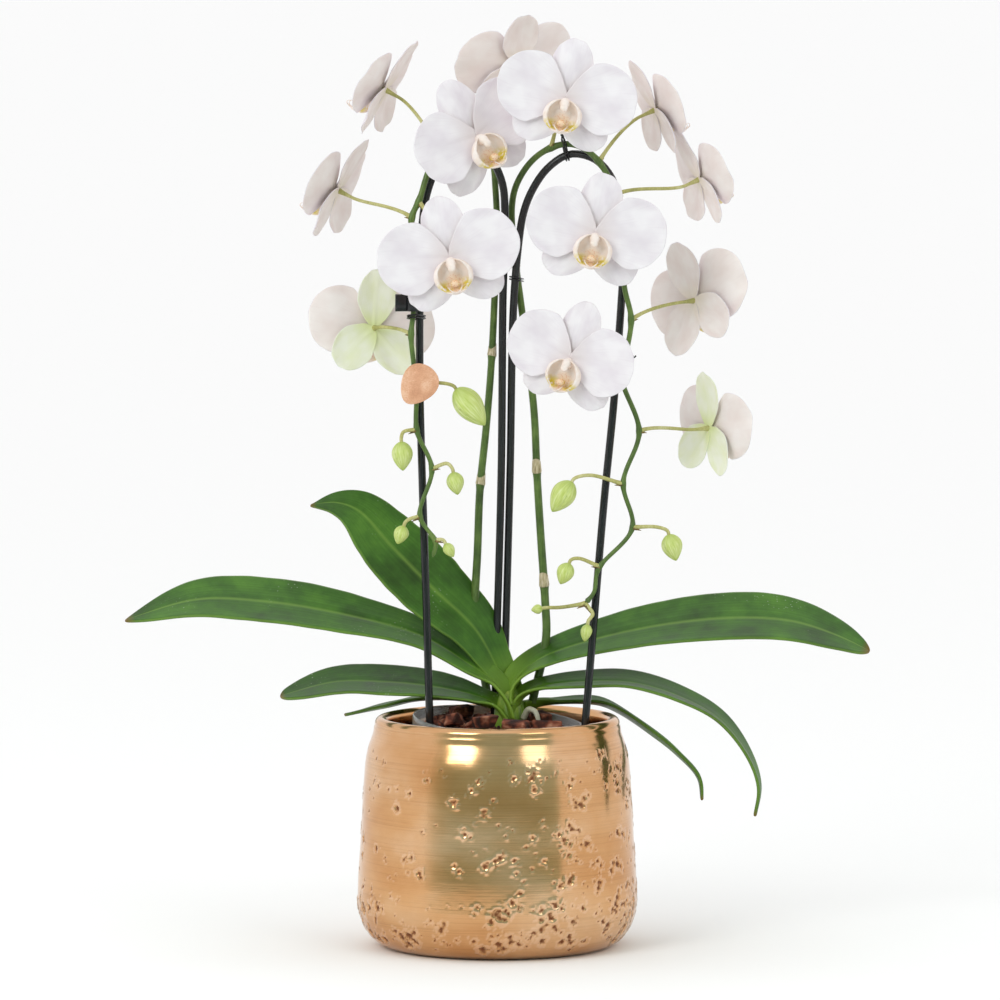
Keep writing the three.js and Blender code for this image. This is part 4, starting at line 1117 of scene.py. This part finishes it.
# %% Lip, column and tendrils
def lobe_patch(bm, middle_turn, half_turn, back, front):
    """A round-cornered patch of an egg-shaped cup: one side lobe of the lip."""
    made = bmesh.ops.create_grid(bm, x_segments=14, y_segments=12, size=1.0)
    for v in made["verts"]:
        x, y = v.co.x, v.co.y
        side = x * math.sqrt(1 - y * y / 2)
        ahead = y * math.sqrt(1 - x * x / 2)
        turn = math.radians(middle_turn + half_turn * side)
        polar = math.radians(back + (front - back) * (ahead + 1) / 2)
        flare = 1 + 0.03 * noise.noise(Vector((turn * 3, polar * 2, 1)))
        v.co = Vector((
            10.8 * math.sin(polar) * math.cos(turn) * flare,
            7.0 - 5.2 * math.cos(polar),
            -9.6 + 9.3 * math.sin(polar) * math.sin(turn) * flare,
        ))
    return made["verts"]


def middle_lobe(bm):
    """The lip's front lobe: a small tongue that dips, and turns up at its sides."""
    made = bmesh.ops.create_grid(bm, x_segments=10, y_segments=12, size=1.0)
    for v in made["verts"]:
        x, y = v.co.x, v.co.y
        side = x * math.sqrt(1 - y * y / 2)
        ahead = (y * math.sqrt(1 - x * x / 2) + 1) / 2
        half = 2.0 + 3.6 * math.sin(math.pi * min(1.0, ahead * 0.9 + 0.1)) ** 1.5
        v.co = Vector((
            side * half,
            4.5 + 10.5 * ahead,
            -16.2 - 3.4 * math.sin(ahead * 2.4) + 1.6 * side * side,
        ))
    return made["verts"]


def lip_piece(name, size, matrix, node):
    sheets = bmesh.new()
    verts = lobe_patch(sheets, -4, 88, 3, 128) + lobe_patch(sheets, 184, 88, 3, 128)
    verts += middle_lobe(sheets)
    bmesh.ops.recalc_face_normals(sheets, faces=sheets.faces)
    bmesh.ops.solidify(sheets, geom=list(sheets.faces), thickness=LIP_THICKNESS)
    bm = sheets
    throat = bmesh.ops.create_uvsphere(bm, u_segments=24, v_segments=12, radius=1.0)["verts"]
    for v in throat:
        v.co = Vector((v.co.x * 7.0, 2.3 + v.co.y * 1.1, -9.6 + v.co.z * 6.2))
    column = bmesh.ops.create_uvsphere(bm, u_segments=20, v_segments=14, radius=1.0)["verts"]
    for v in column:
        nose = max(0.0, v.co.y)
        wide, high = 2.9 + 0.5 * nose, -2.6 + v.co.z * 3.2 - 1.6 * nose ** 2
        v.co = Vector((v.co.x * wide, 4.4 + v.co.y * 5.6, high))
    cap = bmesh.ops.create_uvsphere(bm, u_segments=14, v_segments=10, radius=1.0)["verts"]
    for v in cap:
        v.co = Vector((v.co.x * 2.2, 9.2 + v.co.y * 1.5, -5.2 + v.co.z * 2.2))
    callus = bmesh.ops.create_uvsphere(bm, u_segments=16, v_segments=10, radius=1.0)["verts"]
    for v in callus:
        split = 1 + 0.25 * math.cos(2 * math.atan2(v.co.x, v.co.y + 1e-9))
        v.co = Vector((v.co.x * 3.0 * split, 8.2 + v.co.y * 2.4, -13.6 + v.co.z * 2.0))
    tendrils = []
    for side in (-1, 1):
        bend = [
            (side * 0.8, 14.6, -18.2), (side * 2.2, 16.2, -17.2),
            (side * 3.6, 15.6, -15.4), (side * 3.4, 14.2, -14.8),
        ]
        curl = smooth_line(bend, 12)
        tendrils.append([(p / MM, 0.42 - 0.025 * i) for i, p in enumerate(curl)])
    add_mesh(bm, swept_mesh("tendrils", tendrils, 1))
    flower_place = bm.verts.layers.float_vector.new("flower_place")
    for v in bm.verts:
        v[flower_place] = v.co
        v.co *= size * MM
    bmesh.ops.transform(bm, matrix=matrix, verts=bm.verts)
    return finish_piece(name, to_mesh(bm, name), [lip_finish], "petal_white", node)


# %% Open the thirteen flowers
YOUNG_FLOWERS = ("flower_left_6", "flower_right_7")


def flower_matrix(node, facing, lean, size):
    """The flower's own frame: +Y is the way it faces and +Z its top. Its place is found from
    the end of the plain piece's stub."""
    forward = flower_forward(facing)
    up = (UP - forward * forward.z).normalized()
    up.rotate(Quaternion(forward, math.radians(-lean)))
    reach = [(v.co.dot(forward), v.co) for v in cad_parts[node].data.vertices]
    furthest = min(distance for distance, _ in reach)
    ends = [place for distance, place in reach if distance < furthest + 0.2 * MM]
    stub_end = sum(ends, Vector()) / len(ends)
    centre = stub_end + forward * STUB * size
    return Matrix.Translation(centre) @ Matrix((forward.cross(up), forward, up)).transposed().to_4x4()


for seed, (node, (facing, lean, size, _, _)) in enumerate({**LEFT_FLOWERS, **RIGHT_FLOWERS}.items()):
    matrix = flower_matrix(node, facing, lean, size)
    young = node in YOUNG_FLOWERS
    sepal_finish = (young_front, young_back) if young else (petal_front, petal_back)
    sheet_piece(f"{node}_sepals", seed * 3.1, SEPALS, size, matrix, *sepal_finish, node)
    sheet_piece(f"{node}_petals", seed * 3.1 + 1, PETALS, size, matrix, petal_front, petal_back, node)
    lip_piece(f"{node}_lip", size, matrix, node)

# %% [markdown]
# ## Buds
# A bud is wrapped in its sepals, so seams run from its base to its tip, and at each seam one
# sepal lies over the next. A sphere is drawn out to a pointed egg, and its radius rises slowly
# round each sepal and drops back at the seam.

# %% Bud skin and the ten buds
def bud_skin():
    """A fleshy bud: yellow green, paler on its ribs, greener at its base."""
    material, tree = start_material("bud_skin")
    place = add(tree, "Attribute", attribute_name="bud_place").outputs["Vector"]
    parts = add(tree, "SeparateXYZ", {0: place})
    seam, along = parts.outputs[0], parts.outputs[2]
    cloud = mottle(tree, place, (7, 7, 2), 4.0)
    tone = ramp(tree, cloud, (0.3, "#B0C25C"), (0.5, "#C6D27C"), (0.7, "#D8E0A4"))
    base_mask = remap(tree, along, 0.32, 0.0, 0.0, 0.7)
    based = mix(tree, base_mask, tone, "#A2B850")
    tip_mask = remap(tree, along, 0.86, 1.0, 0.0, 0.6)
    tipped = mix(tree, tip_mask, based, "#9CB440")
    seam_mask = remap(tree, seam, 0.08, 0.0, 0.0, 0.6)
    seamed = mix(tree, seam_mask, tipped, "#8CA83A")
    bump = bumps(tree, cloud, 0.2, 0.0004)
    return finish_material(material, {
        "Base Color": seamed, "Roughness": 0.42, "Normal": bump, "IOR": 1.4,
    })


bud_finish = bud_skin()


def orchid_bud(node, base, tip, width):
    base, tip = Vector(base), Vector(tip)
    length = (tip - base).length
    bm = bmesh.new()
    bmesh.ops.create_uvsphere(bm, u_segments=54, v_segments=30, radius=1.0)
    bud_place = bm.verts.layers.float_vector.new("bud_place")
    for v in bm.verts:
        polar = math.acos(max(-1.0, min(1.0, v.co.z)))
        along = 1 - polar / math.pi
        turn = math.atan2(v.co.y, v.co.x)
        seam = (turn / (2 * math.pi) * 3 + 0.35 * along + width) % 1.0
        belly = math.sin(math.pi * along ** 0.82) ** 0.72 * (1 - 0.10 * along)
        overlap = 1 + 0.075 * (seam - 0.5) - 0.05 * math.exp(-(min(seam, 1 - seam) / 0.05) ** 2)
        radius = 0.5 * width * 0.98 * belly * overlap
        v[bud_place] = (seam, turn, along)
        v.co = Vector((radius * math.cos(turn), radius * math.sin(turn), along * length)) * MM
    turn = (tip - base).to_track_quat("Z", "Y").to_matrix().to_4x4()
    bmesh.ops.transform(bm, matrix=Matrix.Translation(base * MM) @ turn, verts=bm.verts)
    finish_piece(f"orchid_{node}", to_mesh(bm, node), [bud_finish], "bud_green", node)


for node, (base, tip, width, _, _) in {**LEFT_BUDS, **RIGHT_BUDS}.items():
    orchid_bud(node, base, tip, width)

# %% [markdown]
# ## Ties, clip and tag
# A twist tie is a thin coated wire drawn round stem and arch, with its ends twisted together
# and snipped. The clip is a small moulded spring clip: a ring round the stem with two finger
# tabs. The tag is an egg of coloured card that hangs on the stem by a loop of thread, and it is
# left plain.

# %% Twist ties
def twist_tie(node, arch, stem, at, axis_hint):
    first = arch[nearest(arch, Vector(at) * MM)]
    second = stem[nearest(stem, first)]
    across = (second - first).normalized()
    axis = (axis_hint - across * axis_hint.dot(across)).normalized()
    third = axis.cross(across)
    half_span = (second - first).length / 2
    middle = first.lerp(second, 0.5)
    bend = 3.0 * MM
    lines = []
    for turn_number in range(2):
        loop = []
        for i in range(37):
            t = 2 * math.pi * i / 36
            x = bend * math.cos(t) + math.copysign(half_span, math.cos(t))
            rise = (turn_number - 0.5) * 1.3 * MM + 0.4 * MM * math.sin(t)
            loop.append((middle + across * x + third * bend * math.sin(t) + axis * rise, 0.45 * MM))
        lines.append(loop)
    knot = middle + across * (half_span + bend + 0.3 * MM)
    for phase in (0, math.pi):
        tail = []
        for i in range(15):
            t = i / 14
            out = knot + across * (3.0 * t * MM) + third * (1.4 * t * t * MM)
            twist = 0.55 * MM * (1 + 1.6 * max(0.0, t - 0.7))
            turn = phase + 7 * t
            tail.append((out + third * twist * math.cos(turn) + axis * twist * math.sin(turn), 0.42 * MM))
        lines.append(tail)
    finish_piece(f"twist_{node}", swept_mesh(node, lines, 2), [coated_wire], "black_plastic", node)


SIDEWAYS = Vector((1, 0, 0))
twist_tie("tie_left", arch_lines["arch_wire_left"], left_stem, (-41.8, -10.2, 341), UP)
twist_tie("tie_top", arch_lines["arch_wire_right"], right_stem, (38.7, -2, 430), SIDEWAYS)
twist_tie("tie_middle", arch_lines["arch_wire_right"], right_stem, (9.9, 7.2, 363), UP)
twist_tie("tie_right", arch_lines["arch_wire_right"], right_stem, (64.8, -11.6, 322), UP)


# %% Spring clip
def spring_clip():
    low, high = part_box("stem_clip")
    middle = (low + high) / 2
    stem_at = Vector((-45.2, -16, 350.5)) * MM
    tall = (high.z - low.z) / MM
    bm = spun([(2.75, -tall / 2), (4.1, -tall / 2), (4.2, -tall / 2 + 0.3), (4.2, tall / 2 - 0.3),
               (4.1, tall / 2), (2.75, tall / 2), (2.75, -tall / 2)], 40)
    for side in (-1, 1):
        tab = bmesh.ops.create_cube(bm, size=1.0)["verts"]
        for v in tab:
            grip = 0.7 if v.co.x < 0 else 0.0
            v.co = Vector((v.co.x * 7.6 - 6.4, v.co.y * 1.3 + side * grip, v.co.z * tall)) * MM
        edges = list({e for v in tab for e in v.link_edges})
        rounded = bmesh.ops.bevel(
            bm, geom=edges, offset=0.35 * MM, segments=2, affect="EDGES", profile=0.5, material=-1,
        )
        corners = list({v for f in rounded["faces"] for v in f.verts})
        bmesh.ops.transform(bm, matrix=Matrix.Rotation(side * 0.42, 4, "Z"), verts=corners)
    for prong in (-1, 1):
        pin = bmesh.ops.create_cone(
            bm, segments=10, radius1=0.7 * MM, radius2=0.35 * MM, depth=3.2 * MM, cap_ends=True,
        )["verts"]
        spot = Vector((-3.4 + prong * 2.6, prong * 1.2, tall / 2 + 1.2)) * MM
        bmesh.ops.translate(bm, vec=spot, verts=pin)
    bmesh.ops.translate(bm, vec=stem_at, verts=bm.verts)
    finish_piece("spring_clip", to_mesh(bm, "spring_clip"), [moulded_black], "black_plastic", "stem_clip")
    print("clip middle:", [round(c / MM, 1) for c in middle])


spring_clip()


# %% Card tag
def tag_card():
    """Uncoated dyed card: matt peach, with a fibrous grain about 0.4 mm across."""
    material, tree = start_material("peach_card")
    place = add(tree, "TexCoord").outputs["Object"]
    fibre = mottle(tree, place, 1500.0, 4.0)
    cloud = mottle(tree, place, 160.0, 3.0)
    blend = add(tree, "Math", {0: fibre, 1: 0.6, 2: cloud}, operation="MULTIPLY_ADD")
    tone = ramp(tree, blend.outputs[0], (0.55, "#CB9270"), (0.8, "#DCA482"), (1.0, "#EABD9E"))
    bump = bumps(tree, fibre, 0.5, 0.0002)
    return finish_material(material, {
        "Base Color": tone, "Roughness": 0.8, "Normal": bump, "Sheen Weight": 0.1,
    })


peach_card = tag_card()


def egg_tag():
    bm = bmesh.new()
    bmesh.ops.create_circle(bm, cap_ends=True, segments=72, radius=1.0)
    for v in bm.verts:
        taper = 1 + 0.27 * v.co.y
        v.co = Vector((v.co.x * 9.6 * taper, v.co.y * 11.6, 0)) * MM
    face = list(bm.faces)
    grown = bmesh.ops.extrude_face_region(bm, geom=face)
    top = [g for g in grown["geom"] if isinstance(g, bmesh.types.BMVert)]
    bmesh.ops.translate(bm, vec=(0, 0, 1.4 * MM), verts=top)
    rims = [e for e in bm.edges if abs(e.verts[0].co.z - e.verts[1].co.z) < 1e-6]
    bmesh.ops.bevel(bm, geom=rims, offset=0.35 * MM, segments=3, affect="EDGES", profile=0.5, material=-1)
    bmesh.ops.recalc_face_normals(bm, faces=bm.faces)
    hang = Matrix.Translation(Vector((-42.6, -20.5, 306.5)) * MM)
    turn = Matrix.Rotation(math.pi / 2, 4, "X") @ Matrix.Rotation(-0.6, 4, "Z")
    bmesh.ops.transform(bm, matrix=hang @ turn, verts=bm.verts)
    loop = []
    for i in range(37):
        t = 2 * math.pi * i / 36
        spot = Vector((-44 + 3.0 * math.cos(t), -17.7 + 3.2 * math.sin(t), 310.5 + 0.8 * math.sin(t))) * MM
        loop.append((spot, 0.55 * MM))
    add_mesh(bm, swept_mesh("tag_loop", [loop], 2))
    finish_piece("peach_tag", to_mesh(bm, "peach_tag"), [peach_card], "tag_peach", "hang_tag")


egg_tag()

# %% [markdown]
# ## Floor, light and camera
# A mirror-like glaze shows whatever stands round it. In a studio that is a white table and white
# walls, two softboxes high in front, and the grey of the room behind the camera. The room is two
# curved screens here, painted grey green, with painted light that makes them whiter on the left, as
# if from a window. The camera doesn't see them, but the glaze does, and they give the pot its
# darker middle.

# %% Studio
FLOOR_HALF = 120.0
SCREENS = ((2.6, 0.03, 2.4), (0.8, 0.001, 0.13))  # radius, bottom and top, in metres
SCREEN_START, SCREEN_SWEEP = -60, 112  # in degrees
SOFTBOXES = (  # name, place, size and power
    ("softbox_left", (-1.0, -1.5, 1.15), (0.8, 0.8), 12),
    ("softbox_right", (1.1, -1.5, 1.15), (0.75, 0.7), 4),
)
LENS_LENGTH, SENSOR_WIDTH = 266.7, 36
CAMERA_PLACE = (0.0015, -4.0, 0.563)
CAMERA_DIP = 4.578  # how far it looks down, in degrees


def matt(name, colour):
    material, tree = start_material(name)
    place = add(tree, "TexCoord").outputs["Object"]
    clouds = mottle(tree, place, 3.0, 2.0)
    tone = ramp(tree, clouds, (0.0, colour), (1.0, colour))
    return finish_material(material, {
        "Base Color": tone, "Roughness": 0.9, "Specular IOR Level": 0.1,
    })


def room_paint_and_painted_window_light():
    """Grey green paint, with painted light that makes it whiter on the left, as if from a window."""
    material, tree = start_material("grey_paint_and_painted_window_light")
    place = add(tree, "TexCoord").outputs["Object"]
    parts = add(tree, "SeparateXYZ", {0: place})
    ahead = add(tree, "Math", {0: parts.outputs[0], 1: parts.outputs[1]}, operation="DIVIDE")
    # Painted light: towards the left the screen turns from grey green to white, as if a window lit it.
    painted_window_light = remap(tree, ahead.outputs[0], 1.75, 0.75, 0.0, 1.0)
    tone = ramp(tree, painted_window_light, (0.0, "#FFFFFF"), (0.6, "#C4D0C4"), (1.0, "#AFC4BA"))
    return finish_material(material, {
        "Base Color": tone, "Roughness": 0.9, "Specular IOR Level": 0.1,
    })


def stage_piece(name, bm, material):
    piece = bpy.data.objects.new(name, to_mesh(bm, name))
    bpy.context.scene.collection.objects.link(piece)
    piece.data.materials.append(material)
    return piece


def studio():
    ground = bmesh.new()
    bmesh.ops.create_grid(ground, x_segments=1, y_segments=1, size=FLOOR_HALF)
    bmesh.ops.translate(ground, vec=(0, 0, -0.0002), verts=ground.verts)
    stage_piece("pale_table", ground, matt("pale_table_paint", "#FBFBFB"))
    # A far wall, and the low front edge of the table, which the pot's lower wall looks down on.
    room = bmesh.new()
    turn = Matrix.Rotation(math.radians(SCREEN_START), 3, "Z")
    for radius, bottom, top in SCREENS:
        ends = [room.verts.new((0, -radius, z)) for z in (bottom, top)]
        edge = room.edges.new(ends)
        bmesh.ops.rotate(room, cent=(0, 0, 0), matrix=turn, verts=ends)
        bmesh.ops.spin(
            room, geom=[*ends, edge], cent=(0, 0, 0), axis=(0, 0, 1), dvec=(0, 0, 0),
            angle=math.radians(SCREEN_SWEEP), steps=24, use_merge=False,
        )
    screen = stage_piece("grey_room_screen", room, room_paint_and_painted_window_light())
    screen.visible_camera = False
    world = bpy.data.worlds.new("white_studio")
    bpy.context.scene.world = world
    world.use_nodes = True
    world.node_tree.nodes["Background"].inputs["Color"].default_value = (1, 1, 1, 1)
    world.node_tree.nodes["Background"].inputs["Strength"].default_value = 1.0
    for name, place, size, power in SOFTBOXES:
        light = bpy.data.lights.new(name, "AREA")
        light.shape = "RECTANGLE"
        light.size, light.size_y = size
        light.energy = power
        lamp = bpy.data.objects.new(name, light)
        lamp.location = place
        lamp.rotation_euler = (Vector((0, 0, 0.2)) - Vector(place)).to_track_quat("-Z", "Y").to_euler()
        bpy.context.scene.collection.objects.link(lamp)
    bpy.context.scene.view_settings.view_transform = "Standard"


def camera():
    lens = bpy.data.cameras.new("front_camera")
    lens.sensor_width = SENSOR_WIDTH
    lens.lens = LENS_LENGTH
    lens.clip_start, lens.clip_end = 0.1, 400
    stand = bpy.data.objects.new("front_camera", lens)
    stand.location = CAMERA_PLACE
    stand.rotation_euler = (math.radians(90 - CAMERA_DIP), 0, 0)
    bpy.context.scene.collection.objects.link(stand)
    bpy.context.scene.camera = stand


studio()
camera()
